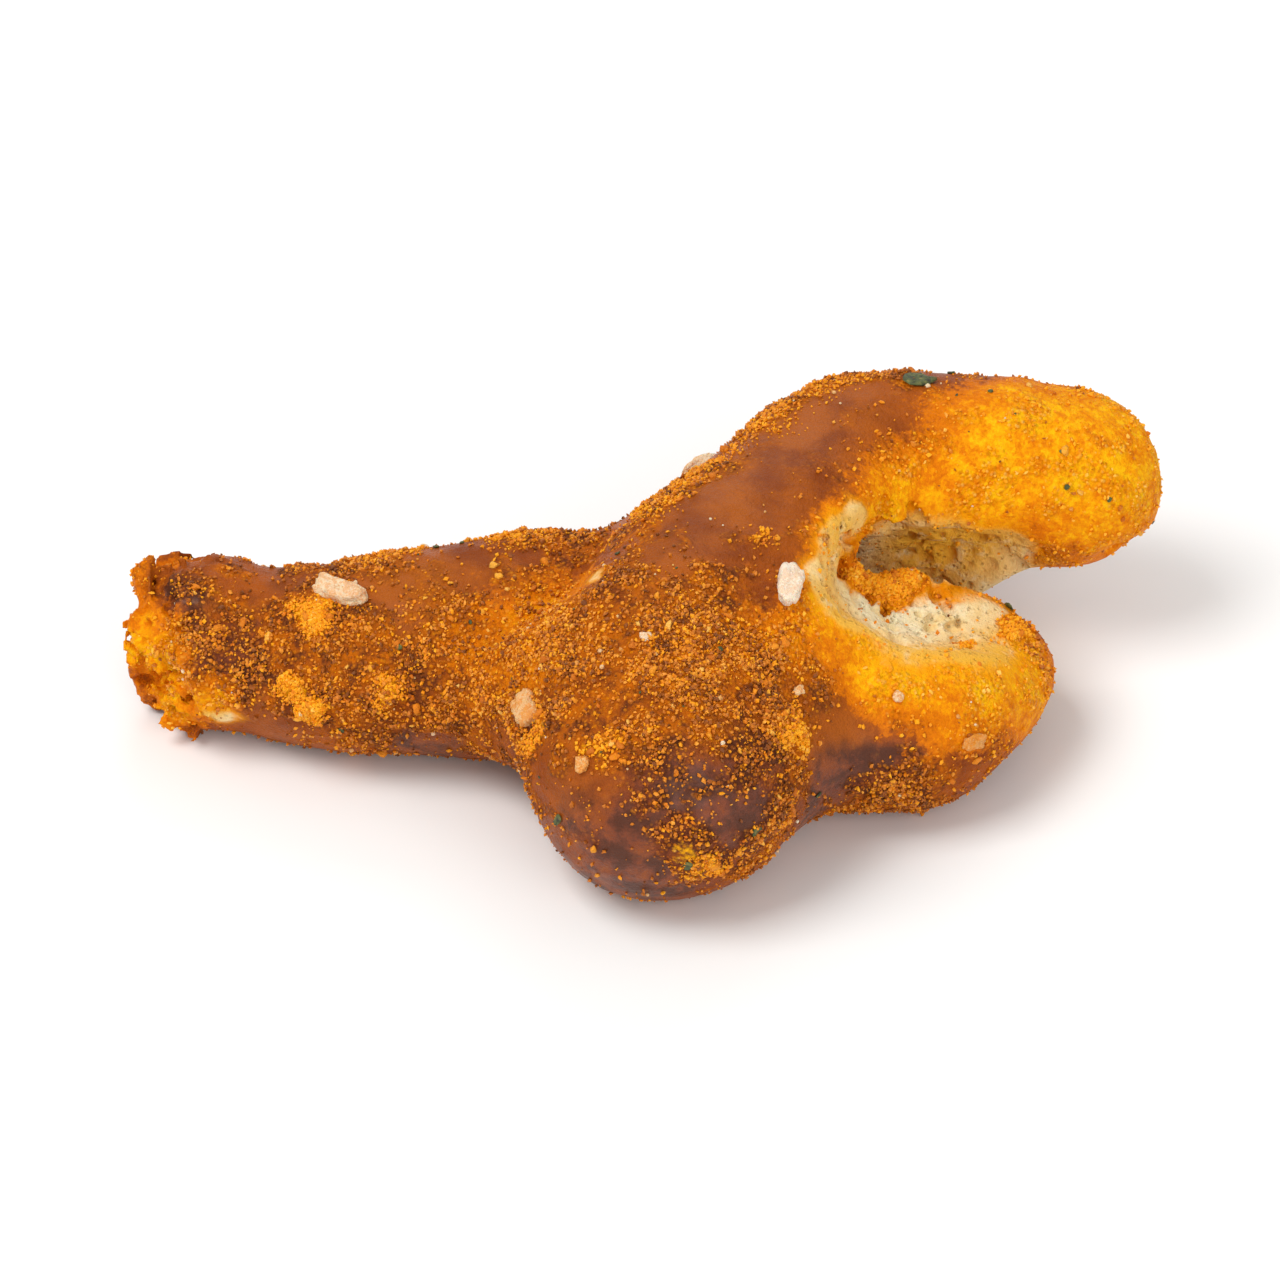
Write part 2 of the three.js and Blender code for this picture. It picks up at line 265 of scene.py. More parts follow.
@dataclass(frozen=True)
class Dough:
    """The ropes of dough before and after they were torn, as the solid has them."""

    lower: Rope = Rope((
        (-22.1, 3.1, 4.5, 4.6), (-20.4, 3.1, 4.2, 4.3), (-15.5, 1.9, 4.6, 5.0), (-10.8, 1.8, 5.0, 5.35),
        (-6.8, 1.9, 5.3, 5.75), (-2.4, 2.5, 5.4, 5.5), (4.4, -0.4, 5.2, 5.8), (9.3, -2.8, 4.7, 5.1),
        (13.9, -3.1, 4.3, 4.6), (16.7, -0.8, 4.1, 3.8), (18.8, 1.6, 3.8, 2.9),
    ))
    upper: Rope = Rope((
        (0.7, -9.2, 6.4, 6.4), (0.9, -5.1, 7.9, 6.1), (2.8, 0.3, 9.2, 5.3), (6.9, 5.7, 9.5, 5.15),
        (11.2, 10.7, 9.4, 5.4), (16.4, 11.4, 9.4, 5.3), (22.8, 11.6, 8.8, 4.7),
    ))
    belly: Rope = Rope((
        (2.5, -9.0, 5.5, 5.5), (4.9, -4.2, 6.4, 5.6), (6.6, -0.9, 7.4, 5.9), (9.6, 3.9, 7.9, 5.7),
    ))
    web: Rope = Rope(((9.0, 2.6, 5.0, 4.6), (12.6, 3.2, 4.4, 3.9), (15.4, 3.4, 3.8, 2.8)))
    heel: Rope = Rope(((4.0, 7.6, 4.6, 4.6), (9.0, 11.0, 4.6, 4.9), (14.6, 12.2, 5.2, 4.5)))
    mouth: Rope = Rope(((11.6, -2.2, 13.4, 2.6), (14.4, 0.7, 11.9, 4.2), (20.0, 1.6, 10.6, 4.4)))
    tears: tuple[Tear, ...] = (
        Tear((15.4, 6.7, 6.6), (6.8, 1.7, 4.2), 2, 33),
        Tear((13.0, 4.2, 9.8), (2.8, 2.0, 1.2), 8),
        Tear((-32.0, -5.0, 2.0), (9.9, 9.9, 9.9)),
        Tear((-33.4, 8.9, 9.6), (8.4, 8.4, 8.4)),
        Tear((30.6, 18.9, 6.6), (9.0, 9.0, 9.0)),
        Tear((27.6, 5.2, 3.0), (6.0, 6.0, 6.0)),
    )

    # How wide the fillets are, in mm.
    crease_blend: float = 1.4
    bulge_blend: float = 8.0
    stub_blend: float = 4.5
    body_blend: float = 3.0
    heel_blend: float = 3.5

    # Where the dough changes from one way to another, in mm.
    right_side: Span = (-4.0, 3.0)
    front_side: Span = (0.5, 5.0)
    bulge_to_stubs: Span = (1.0, 6.0)
    torn_reach: Span = (0.45, 1.1)
    crumb_depth: Span = (0.15, 0.75)
    crease_end: Span = (-2.0, 4.0)
    crease_front: Span = (0.5, 6.0)
    crease_fade: float = 4.0
    fine_step: float = 0.35
    broken_tip: Span = (-25.0, -20.5)

    def depth(self, points: np.ndarray) -> np.ndarray:
        """How deep points lie under the crust that the whole piece had.

        Args:
            points: Places in mm, one a row.

        Returns:
            One depth for each place in mm, negative outside.
        """
        p = points - RECENTRED
        to_right, to_front = ease(p[:, 0], *self.right_side), ease(-p[:, 1], *self.front_side)
        between = np.maximum(ease(p[:, 0], *self.bulge_to_stubs), to_right - to_front)
        wide = self.bulge_blend + (self.stub_blend - self.bulge_blend) * between
        width = self.crease_blend + (wide - self.crease_blend) * np.maximum(to_right, to_front)
        lower = soft_join(self.lower.distance(p), self.web.distance(p), self.body_blend)
        upper = soft_join(self.upper.distance(p), self.heel.distance(p), self.heel_blend)
        both = soft_join(lower, upper, width)
        return -soft_join(both, self.belly.distance(p), self.body_blend)

    def from_tear(self, points: np.ndarray) -> np.ndarray:
        """Distance from points to the nearest torn face.

        Args:
            points: Places in mm, one a row.

        Returns:
            One distance for each place, negative where dough is missing.
        """
        p = points - RECENTRED
        nearest = self.mouth.distance(p)
        for tear in self.tears:
            nearest = np.minimum(nearest, tear.distance(p))
        return nearest

    def torn(self, points: np.ndarray) -> np.ndarray:
        """How far the surface is torn at points.

        Args:
            points: Places on the surface in mm, one a row.

        Returns:
            1 on torn faces and 0 on crust.
        """
        face = 1 - ease(np.abs(self.from_tear(points)), *self.torn_reach)
        tip = 1 - ease((points - RECENTRED)[:, 0], *self.broken_tip)
        return np.maximum(face * ease(self.depth(points), *self.crumb_depth), tip)

    def from_crease(self, points: np.ndarray) -> np.ndarray:
        """How far points are from the crease, the line where the ropes cross.

        Args:
            points: Places in mm, one a row.

        Returns:
            One distance for each place in mm, made longer where the dough runs together.
        """
        p = points - RECENTRED
        off_line = np.abs(self.lower.distance(p) - self.upper.distance(p)) / 2
        closed = np.maximum(ease(p[:, 0], *self.crease_end), ease(-p[:, 1], *self.crease_front))
        return off_line + self.crease_fade * closed

    def sampled(self, low: np.ndarray, high: np.ndarray) -> tuple[Sampled, Sampled, Sampled]:
        """Works the slow fields out inside a box.

        Args:
            low: The box's low corner in mm.
            high: The box's high corner in mm.

        Returns:
            The torn share, the distance from the torn faces and the distance from the crease.
        """
        torn = Sampled(self.torn, low, high, self.fine_step)
        from_crease = Sampled(self.from_crease, low, high, self.fine_step)
        return torn, Sampled(self.from_tear, low, high), from_crease


# ---------------------------------------------------------------- seeded unevenness


class Lumps:
    """Smooth random heights in space, from about -1 to 1."""

    SIZE = 4096
    HASH = np.array([73856093, 19349663, 83492791])
    APART = 31.7

    def __init__(self, seed: int) -> None:
        """Draws the heights.

        Args:
            seed: The same seed always gives the same lumps.
        """
        self.table = np.random.default_rng(seed).uniform(-1, 1, self.SIZE)

    def __call__(self, points: np.ndarray, length: float) -> np.ndarray:
        """Heights at points, for lumps about as long as length.

        Args:
            points: Places in mm, one a row.
            length: Size of a lump in mm.

        Returns:
            One height for each place.
        """
        q = points / length
        corner = np.floor(q).astype(np.int64)
        f = q - corner
        f = f * f * (3 - 2 * f)
        total = np.zeros(len(points))
        for nearby in CORNERS:
            total += self.table[self.key(corner + nearby)] * corner_share(f, nearby)
        return total

    @classmethod
    def key(cls, cell: np.ndarray) -> np.ndarray:
        """Which drawn value belongs to each cell of space."""
        return (cell * cls.HASH).sum(1) & (cls.SIZE - 1)

    def layered(self, points: np.ndarray, length: float, layers: int = 3) -> np.ndarray:
        """Lumps with finer and lower lumps on them.

        Args:
            points: Places in mm, one a row.
            length: Size of the largest lumps in mm.
            layers: How many sizes there are, each half the one before.

        Returns:
            One height for each place.
        """
        heights = sum(self(points + self.APART * i, length / 2**i) / 2**i for i in range(layers))
        return heights / (2 - 2 ** (1 - layers))

    def shifts(self, points: np.ndarray, length: float, apart: float, layers: int = 1) -> np.ndarray:
        """Random moves that bend straight edges.

        Args:
            points: Places in mm, one a row.
            length: Size of a bend in mm.
            apart: How far apart the lumps of the three axes are read, in mm.
            layers: How many sizes of bend there are.

        Returns:
            One move for each place, up to about 1 along each axis.
        """
        return np.stack([self.layered(points + apart * i, length, layers) for i in range(3)], axis=1)


def seeds_around(q: np.ndarray, middles: np.ndarray) -> Iterator[tuple[np.ndarray, np.ndarray]]:
    """Visits the seeds in the cells around points, one seed a cell.

    Args:
        q: Places in cells, one a row.
        middles: Where the drawn seeds lie in their cells.

    Yields:
        The numbers of the seeds and the places' offsets from them.
    """
    cell = np.floor(q).astype(np.int64)
    for around in AROUND:
        here = cell + around
        key = Lumps.key(here)
        yield key, q - here - middles[key]


class Grit:
    """Round grains packed in space: 1 at the middle of a grain and 0 between grains."""

    BREADTH = 0.35

    def __init__(self, seed: int) -> None:
        """Draws the middles and sizes of the grains.

        Args:
            seed: The same seed always gives the same grains.
        """
        rng = np.random.default_rng(seed)
        self.middles = rng.uniform(0.1, 0.9, (Lumps.SIZE, 3))
        self.sizes = rng.uniform(0.45, 1.0, Lumps.SIZE)

    def __call__(self, points: np.ndarray, length: float) -> np.ndarray:
        """Heights of the grains.

        Args:
            points: Places in mm, one a row.
            length: How far apart the grains are in mm.

        Returns:
            One height for each place, from 0 to 1.
        """
        best = np.zeros(len(points))
        for key, offset in seeds_around(points / length, self.middles):
            gap = (offset**2).sum(1)
            best = np.maximum(best, self.sizes[key] - gap / (self.BREADTH * self.sizes[key]))
        return best


class Facets:
    """Broken faces: flat chips at random tilts with small steps between them."""

    STEEPNESS = 0.75

    def __init__(self, seed: int) -> None:
        """Draws the middles and tilts of the chips.

        Args:
            seed: The same seed always gives the same chips.
        """
        rng = np.random.default_rng(seed)
        self.middles = rng.uniform(0.1, 0.9, (Lumps.SIZE, 3))
        self.tilts = rng.normal(0, self.STEEPNESS, (Lumps.SIZE, 3))

    def __call__(self, points: np.ndarray, length: float) -> np.ndarray:
        """Heights of the chips.

        Args:
            points: Places in mm, one a row.
            length: How wide the chips are in mm.

        Returns:
            One height for each place, as a share of length.
        """
        nearest = np.full(len(points), np.inf)
        height = np.zeros(len(points))
        for key, offset in seeds_around(points / length, self.middles):
            gap = (offset**2).sum(1)
            closer = gap < nearest
            nearest = np.where(closer, gap, nearest)
            height = np.where(closer, (offset * self.tilts[key]).sum(1), height)
        return height


# ---------------------------------------------------------------- meshes


def mesh_of(name: str, points: np.ndarray, faces: np.ndarray, smooth: bool = True) -> bpy.types.Object:
    """Makes an object from points in mm.

    Args:
        name: The object's name.
        points: Vertices in mm, one a row.
        faces: Vertex numbers of the triangles, one a row.
        smooth: Whether the faces are shaded smooth.

    Returns:
        The new object, linked to the scene.
    """
    mesh = bpy.data.meshes.new(name)
    mesh.vertices.add(len(points))
    mesh.vertices.foreach_set("co", (points * MM).astype(np.float32).ravel())
    mesh.loops.add(faces.size)
    mesh.loops.foreach_set("vertex_index", faces.astype(np.int32).ravel())
    mesh.polygons.add(len(faces))
    mesh.polygons.foreach_set("loop_start", np.arange(0, faces.size, faces.shape[1], dtype=np.int32))
    mesh.update(calc_edges=True)
    mesh.validate()
    if smooth:
        mesh.shade_smooth()
    else:
        mesh.shade_flat()
    made = bpy.data.objects.new(name, mesh)
    bpy.context.scene.collection.objects.link(made)
    return made


def points_of(mesh: bpy.types.Mesh) -> np.ndarray:
    """Reads a mesh's vertices.

    Args:
        mesh: The mesh, in metres.

    Returns:
        Its vertices in mm, one a row.
    """
    flat = np.zeros(len(mesh.vertices) * 3, np.float32)
    mesh.vertices.foreach_get("co", flat)
    return flat.reshape(-1, 3).astype(float) / MM


def triangles_of(mesh: bpy.types.Mesh) -> np.ndarray:
    """Reads a mesh's triangles.

    Args:
        mesh: The mesh.

    Returns:
        The vertex numbers of its triangles, one a row.
    """
    mesh.calc_loop_triangles()
    flat = np.zeros(len(mesh.loop_triangles) * 3, np.int32)
    mesh.loop_triangles.foreach_get("vertices", flat)
    return flat.reshape(-1, 3)


def normals_at(points: np.ndarray, faces: np.ndarray) -> np.ndarray:
    """Outward unit normals at the vertices of a triangle mesh.

    Args:
        points: Vertices, one a row.
        faces: Triangles, one a row.

    Returns:
        One normal for each vertex.
    """
    a, b, c = (points[faces[:, i]] for i in range(3))
    across = np.cross(b - a, c - a)
    total = np.zeros_like(points)
    for i in range(3):
        np.add.at(total, faces[:, i], across)
    return total / np.maximum(np.linalg.norm(total, axis=1, keepdims=True), 1e-12)


def largest_part(points: np.ndarray, faces: np.ndarray) -> tuple[np.ndarray, np.ndarray]:
    """Drops every loose scrap of a mesh.

    Args:
        points: Vertices, one a row.
        faces: Triangles, one a row.

    Returns:
        The points and faces of the largest connected part.
    """
    label = np.arange(len(points))
    a, b = faces.ravel(), np.roll(faces, 1, axis=1).ravel()
    while True:
        low = np.minimum(label[a], label[b])
        lower = label.copy()
        np.minimum.at(lower, a, low)
        np.minimum.at(lower, b, low)
        lower = lower[lower]
        if (lower == label).all():
            break
        label = lower
    kept = label == np.bincount(label).argmax()
    number = np.cumsum(kept) - 1
    return points[kept], number[faces[kept[faces[:, 0]]]]


# ---------------------------------------------------------------- the body of dough


class Zone(Enum):
    """What the surface is like from place to place."""

    GOLD = "gold"
    BARE = "bare"
    DUST = "dust"
    SCORCH = "scorch"
    CRUMB = "crumb"
    CLUMP = "clump"


@dataclass(frozen=True)
class Patch:
    """A soft patch of a zone: its middle and reach in mm, and how strong it is."""

    at: Point
    reach: float
    strength: float = 1.0


def patches(*rows: tuple[float, ...]) -> tuple[Patch, ...]:
    """Patches from rows of x, y, z, reach and, where it isn't 1, strength."""
    return tuple(Patch(row[:3], *row[3:]) for row in rows)


PATCHES: dict[Zone, tuple[Patch, ...]] = {
    # Three gold patches round (16, 7 to 8.3, 6 to 11) lie in the hollow under the upper lobe: there they
    # paint the crumb straw as painted shade.
    Zone.GOLD: patches(
        (14.6, -7.2, 5.6, 1.9, 0.2), (3.0, -8.2, 12.6, 3.6, 0.35), (-8.0, -3.4, 8.6, 2.6, 0.2),
        (-24.9, -0.2, 5.6, 3.2, 0.85), (-22.0, -1.3, 4.1, 1.7, 0.9), (15.8, 7.9, 6.0, 4.2),
        (19.3, 8.9, 13.0, 4.7), (23.8, 9.4, 11.5, 6.5), (26.3, 12.9, 9.0, 6.0, 0.8),
        (16.3, 6.9, 11.0, 3.6, 0.7), (13.0, 4.5, 12.6, 3.0), (10.1, 0.9, 12.9, 2.4, 0.95),
        (9.3, -3.1, 11.4, 2.7, 0.95), (11.6, -4.7, 9.4, 2.9), (14.6, -4.5, 8.2, 3.3),
        (17.6, -3.5, 7.2, 3.3), (20.0, -0.7, 5.6, 3.8), (15.8, 8.3, 7.4, 3.6, 0.9),
        (-3.7, -1.0, 11.2, 2.6, 0.7), (-6.7, -1.6, 9.8, 2.6, 0.5), (-4.2, -5.6, 9.5, 3.2, 0.8),
        (-26.1, 2.0, 5.6, 3.0, 0.9), (-24.1, 1.1, 2.6, 2.6, 0.85), (-24.8, 5.5, 8.0, 1.6, 0.6),
        (7.9, -5.7, 11.8, 2.2, 0.6), (6.0, -6.5, 12.6, 2.2, 0.35), (-9.7, -3.3, 8.6, 2.4, 0.35),
        (19.8, 16.4, 7.0, 3.5, 0.5), (-18.2, 8.9, 6.0, 2.5, 0.4),
    ),
    Zone.BARE: patches(
        (4.2, 1.6, 14.9, 3.6), (7.1, 6.5, 14.9, 3.6), (11.1, 9.7, 14.8, 2.8, 0.8),
        (1.4, -3.3, 14.3, 2.4, 0.7), (-11.6, -3.3, 3.2, 2.8), (-18.3, -1.9, 2.6, 2.2, 0.8),
        (2.7, -15.2, 8.4, 2.8, 0.7), (-3.3, -14.3, 8.2, 2.6, 0.7), (-0.3, -15.3, 3.9, 3.0, 0.8),
        (10.0, -8.3, 7.0, 2.6), (9.4, -8.7, 4.4, 2.6), (-11.6, 0.6, 10.1, 2.9),
        (-8.3, 1.3, 10.9, 2.3, 0.9), (4.3, 13.4, 9.0, 5.0), (-12.2, 8.4, 5.0, 3.5, 0.9),
        (13.8, 17.4, 8.5, 4.5, 0.9), (-5.2, 8.4, 6.0, 3.0, 0.7),
    ),
    Zone.DUST: patches(
        (-9.0, -3.0, 8.2, 4.6), (-14.6, -2.7, 7.2, 4.4), (-21.2, -0.5, 6.5, 3.4, 0.9),
        (-3.8, -7.6, 10.5, 4.0), (3.2, -8.0, 12.8, 5.2), (6.8, -9.3, 10.0, 3.6),
        (0.7, -12.5, 11.6, 4.0), (1.5, -15.6, 6.6, 1.4), (2.7, -15.1, 4.4, 1.7), (6.2, -12.3, 4.8, 2.6),
        (12.4, -7.9, 2.8, 3.0, 0.9), (2.0, 4.5, 14.0, 2.4, 0.9), (6.2, 10.7, 14.0, 2.6, 0.9),
        (10.8, 14.5, 14.0, 3.0, 0.9), (-15.2, 4.5, 10.2, 3.4, 0.8), (-4.8, 5.3, 10.8, 3.0, 0.9),
        (-20.2, 8.9, 5.5, 3.5, 0.8), (18.8, 16.7, 9.0, 4.0, 0.5), (7.8, 16.4, 4.0, 4.0, 0.8),
        (20.4, 0.5, 5.4, 1.6, 0.6), (-0.2, -4.6, 13.4, 2.6, 0.6), (2.0, -15.0, 8.4, 3.2, 0.35),
    ),
    Zone.SCORCH: patches(
        (2.2, -15.2, 8.0, 3.6), (4.8, -13.4, 7.0, 3.0, 0.9), (-1.6, -14.4, 6.5, 2.8, 0.7),
        (-23.4, 1.9, 8.9, 1.7, 0.8), (18.2, 7.2, 9.4, 1.9, 0.3), (5.6, -11.6, 9.6, 2.2, 0.5),
        (-21.2, -0.9, 6.3, 2.7), (12.4, -7.9, 5.2, 2.0, 0.6), (9.4, -8.9, 4.6, 3.0, 0.8),
        (3.2, -14.9, 6.4, 3.4, 0.8), (-0.7, -14.7, 3.2, 3.8, 0.8), (-11.6, -3.1, 2.4, 3.2, 0.55),
        (-17.2, 3.5, 10.4, 3.0, 0.5), (3.8, 14.9, 4.0, 5.0, 0.7), (-9.2, 8.9, 3.0, 4.0, 0.7),
        (13.8, 17.7, 5.0, 3.5, 0.6), (1.8, 2.9, -1.0, 9.0, 0.7),
    ),
    Zone.CRUMB: patches(
        (10.8, 3.0, 13.0, 1.2, 0.8), (9.9, 0.5, 12.9, 1.5, 0.9), (9.2, -1.8, 12.7, 1.3, 0.9),
        (13.1, -0.9, 8.6, 3.4), (10.2, -1.7, 11.0, 2.2), (16.2, -0.1, 7.2, 3.1),
        (18.2, 2.3, 6.5, 1.8, 0.8), (10.7, 2.3, 12.3, 1.1, 0.8), (13.3, 8.2, 6.3, 3.8),
        (17.4, 8.9, 5.2, 3.8), (15.0, 6.3, 8.8, 2.4, 0.7), (18.4, 6.7, 7.6, 2.2, 0.6),
        (-21.4, -1.2, 2.9, 0.9, 0.8), (-2.4, -2.0, 12.8, 0.7, 0.7), (27.1, 13.9, 7.6, 2.6, 0.6),
    ),
    Zone.CLUMP: patches(
        (-16.7, 0.0, 9.2, 1.15), (-17.8, -2.3, 6.2, 0.75), (-17.3, -2.9, 5.0, 0.8),
        (12.6, 2.4, 8.8, 1.3), (11.2, 1.8, 9.6, 0.9), (13.9, 3.3, 8.5, 0.9),
        (16.3, -0.3, 7.2, 0.7, 0.8), (19.1, 1.9, 6.2, 1.0, 0.9), (7.5, -9.6, 9.0, 1.1, 0.9),
        (2.3, -15.4, 5.9, 0.9, 0.6), (3.1, -14.9, 4.6, 1.1, 0.6), (6.4, -0.9, 14.0, 0.6, 0.55),
        (-1.8, -12.7, 10.4, 0.9, 0.6), (-4.8, -9.3, 8.6, 1.2, 0.7), (-12.8, -3.0, 6.3, 1.0, 0.6),
        (6.4, -12.0, 5.6, 1.2, 0.6), (1.4, -6.7, 13.4, 0.8, 0.6), (-7.0, -3.7, 7.0, 1.3, 0.6),
        (0.8, 3.3, 13.6, 2.3, 0.3), (3.2, 6.3, 14.2, 2.3, 0.3), (6.2, 9.9, 14.6, 2.3, 0.3),
        (9.6, 12.8, 14.7, 2.3, 0.3), (-6.2, 5.1, 10.8, 2.4, 0.36), (-13.2, 5.3, 9.4, 2.4, 0.36),
    ),
}


@dataclass(frozen=True)
class Relief:
    """Heights and lengths, in mm, of what is too fine for the solid."""

    coarse_grit: float = 0.13
    coarse_length: float = 0.62
    fine_grit: float = 0.11
    fine_length: float = 0.40
    thick_bed: float = 0.10
    bed_lumps: float = 0.05
    clump: float = 0.16
    swell: float = 0.07
    swell_length: float = 2.4
    blister: float = 0.035
    blister_length: float = 0.8
    bare_wrinkle: float = 0.04
    scorched_wrinkle: float = 0.13
    wrinkle_length: float = 0.9
    crumb_grit: float = 0.05
    crumb_length: float = 0.6
    crease_depth: float = 0.35
    crease_width: float = 0.35
    sole_height: float = 0.4
    sole_share: float = 0.2


@dataclass
class DoughBody:
    """The bite itself: crust, torn faces and pores, in one closed mesh of the solid's form."""

    CRAG_SEED: ClassVar[int] = 11
    PORE_SEED: ClassVar[int] = 12
    CHIP_SEEDS: ClassVar[tuple[int, int]] = (13, 14)
    CRUST_SEED: ClassVar[int] = 21
    GRIT_SEED: ClassVar[int] = 22
    ZONE_SEED: ClassVar[int] = 31

    name: str = "pretzel_bite_dough"
    voxel: float = 0.15
    quick_voxel: float = 0.24
    band: int = 11
    band_edge: float = 0.05
    triangles: int = 190_000
    soften_crust: float = 0.50
    soften_torn: float = 0.22
    near_skin: float = 1.2
    near_face: float = 1.0
    crag_height: float = 0.42
    tip_crags: Span = (-23.0, -19.5)
    tip_chunks: tuple[Chunk, ...] = (
        Chunk((-24.5, 5.0, 7.0), (1.5, 1.6, 1.1), -38, -14),
        Chunk((-24.6, 2.5, 5.2), (1.2, 1.3, 1.2), -38, 40),
        Chunk((-23.4, 1.5, 1.7), (1.1, 1.1, 1.3), -20, 25),
    )
    tip_chips: tuple[Tear, ...] = (
        Tear((-28.2, 1.0, 1.2), (3.3, 3.3, 3.3)), Tear((-27.6, 3.2, 8.4), (1.5, 1.5, 1.5)),
        Tear((-22.6, -2.4, 7.4), (1.5, 1.0, 1.3)),
    )
    pores: int = 620
    pore_sizes: Span = (0.20, 0.62)
    zone_warp: float = 0.9
    heap_length: float = 1.5
    heaps: Span = (-0.25, 0.35)
    rim_width: float = 1.5
    dough: Dough = field(default_factory=Dough)
    relief: Relief = field(default_factory=Relief)

    # The block of cells and the slow fields, worked out from the solid.
    first: np.ndarray = field(init=False)
    low: np.ndarray = field(init=False)
    high: np.ndarray = field(init=False)
    cells: np.ndarray = field(init=False)
    torn: Sampled = field(init=False)
    from_tear: Sampled = field(init=False)
    from_crease: Sampled = field(init=False)

    def field_of(self, solid: bpy.types.Object) -> None:
        """Fills the block of cells with distances to the solid.

        Args:
            solid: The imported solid.
        """
        points, faces = points_of(solid.data), triangles_of(solid.data)
        cells = openvdb.createLinearTransform(voxelSize=self.voxel)
        grid = openvdb.FloatGrid.createLevelSetFromPolygons(
            points, triangles=faces, transform=cells, halfWidth=self.band)
        margin = self.band + 2
        self.first = np.floor(points.min(0) / self.voxel).astype(int) - margin
        last = np.ceil(points.max(0) / self.voxel).astype(int) + margin
        self.low, self.high = points.min(0), points.max(0)
        self.torn, self.from_tear, self.from_crease = self.dough.sampled(self.low, self.high)
        self.cells = np.zeros(last - self.first + 1, np.float32)
        grid.copyToArray(self.cells, ijk=tuple(int(v) for v in self.first))

    def places(self, index: np.ndarray) -> np.ndarray:
        """Where cells are in mm, from their numbers in the block."""
        return (index + self.first) * self.voxel

    def softened(self, reach: float) -> np.ndarray:
        """Blurs the block of cells along each axis in turn.

        Args:
            reach: How far the blur reaches in mm.

        Returns:
            The blurred block.
        """
        sigma = reach / self.voxel
        half = min(int(math.ceil(2.5 * sigma)), self.band)
        weights = np.exp(-0.5 * (np.arange(-half, half + 1) / sigma) ** 2)
        weights /= weights.sum()
        out = self.cells
        for axis in range(3):
            edges = [(half, half) if i == axis else (0, 0) for i in range(3)]
            padded = np.pad(out, edges, mode="edge")
            out = np.zeros_like(self.cells)
            for shift, weight in enumerate(weights):
                window = [slice(None)] * 3
                window[axis] = slice(shift, shift + self.cells.shape[axis])
                out += np.float32(weight) * padded[tuple(window)]
        return out

    def soften(self) -> None:
        """Takes the facets off the crust and leaves the torn faces sharper."""
        crust, torn = self.softened(self.soften_crust), self.softened(self.soften_torn)
        near = np.argwhere(np.abs(crust) < self.near_skin)
        share = self.torn(self.places(near)).astype(np.float32)
        at = tuple(near.T)
        crust[at] += share * (torn[at] - crust[at])
        self.cells = crust

    def break_tip(self) -> None:
        """Leaves blocky lumps standing on the arm's broken end and chips others off."""
        last = int(self.tip_crags[1] / self.voxel) - int(self.first[0])
        near = np.argwhere(np.abs(self.cells[:last]) < self.band * self.voxel - self.band_edge)
        places = self.places(near) - RECENTRED
        values = self.cells[tuple(near.T)]
        for chunk in self.tip_chunks:
            values = np.minimum(values, chunk.distance(places))
        for chip in self.tip_chips:
            values = np.maximum(values, -chip.distance(places))
        self.cells[tuple(near.T)] = values

    def tear(self) -> None:
        """Breaks the torn faces up into crags and opens pores in them."""
        near = np.argwhere(np.abs(self.cells) < self.near_face)
        share = self.torn(self.places(near))
        ragged = share > 0.02
        near, share = near[ragged], share[ragged]
        places = self.places(near)
        lumps = Lumps(self.CRAG_SEED)
        at_tip = 1 - ease(places[:, 0], *self.tip_crags)
        crags = 0.6 * lumps.layered(places, 1.9, 4) + 0.4 * np.abs(lumps(places + 9.0, 0.9))
        warped = places + 0.35 * lumps.shifts(places, 1.1, 5.0)
        large_chips, small_chips = (Facets(seed) for seed in self.CHIP_SEEDS)
        chips = at_tip * (large_chips(warped, 2.3) + 0.5 * small_chips(warped, 1.1))
        height = self.crag_height * share * (crags + 1.6 * chips + 0.35 * at_tip)
        self.cells[tuple(near.T)] += height.astype(np.float32)
        on_face = np.abs(self.cells[tuple(near.T)]) < self.voxel
        candidates = places[on_face & (share > 0.6)]
        rng = np.random.default_rng(self.PORE_SEED)
        small, large = self.pore_sizes
        for middle in candidates[rng.choice(len(candidates), self.pores)]:
            radius = small + (large - small) * rng.random() ** 3
            self.open_pore(middle + rng.normal(0, 0.12, 3), radius, rng.uniform(0.75, 1.3, 3))

    def open_pore(self, middle: np.ndarray, radius: float, stretch: np.ndarray) -> None:
        """Takes one round pore out of the dough.

        Args:
            middle: The pore's middle in mm.
            radius: Its radius in mm.
            stretch: How long it is along each axis, for its size.
        """
        reach = radius * 1.5 + self.voxel
        low = np.floor((middle - reach) / self.voxel).astype(int) - self.first
        high = np.ceil((middle + reach) / self.voxel).astype(int) - self.first + 1
        block = tuple(slice(max(a, 0), b) for a, b in zip(low, high))
        axes = (np.arange(part.start, min(part.stop, n)) for part, n in zip(block, self.cells.shape))
        index = np.stack(np.meshgrid(*axes, indexing="ij"), axis=-1)
        gap = np.linalg.norm((self.places(index) - middle) / stretch, axis=-1)
        self.cells[block] = np.maximum(self.cells[block], (radius - gap).astype(np.float32))

    def skin(self) -> tuple[np.ndarray, np.ndarray]:
        """Takes the surface of the block.

        Returns:
            Points in mm and triangles that face out.
        """
        grid = openvdb.FloatGrid(float(self.band * self.voxel))
        grid.transform = openvdb.createLinearTransform(voxelSize=self.voxel)
        grid.copyFromArray(self.cells, ijk=tuple(int(v) for v in self.first))
        points, triangles, quads = grid.convertToPolygons(isovalue=0.0, adaptivity=0.0)
        halves = quads[:, [0, 1, 2]], quads[:, [0, 2, 3]]
        faces = np.vstack([triangles.reshape(-1, 3), *halves]).astype(np.int64)
        a, b, c = (points[faces[:, i]].astype(float) for i in range(3))
        if np.einsum("ij,ij->i", a, np.cross(b, c)).sum() < 0:
            faces = faces[:, ::-1]
        return largest_part(points.astype(float), faces)

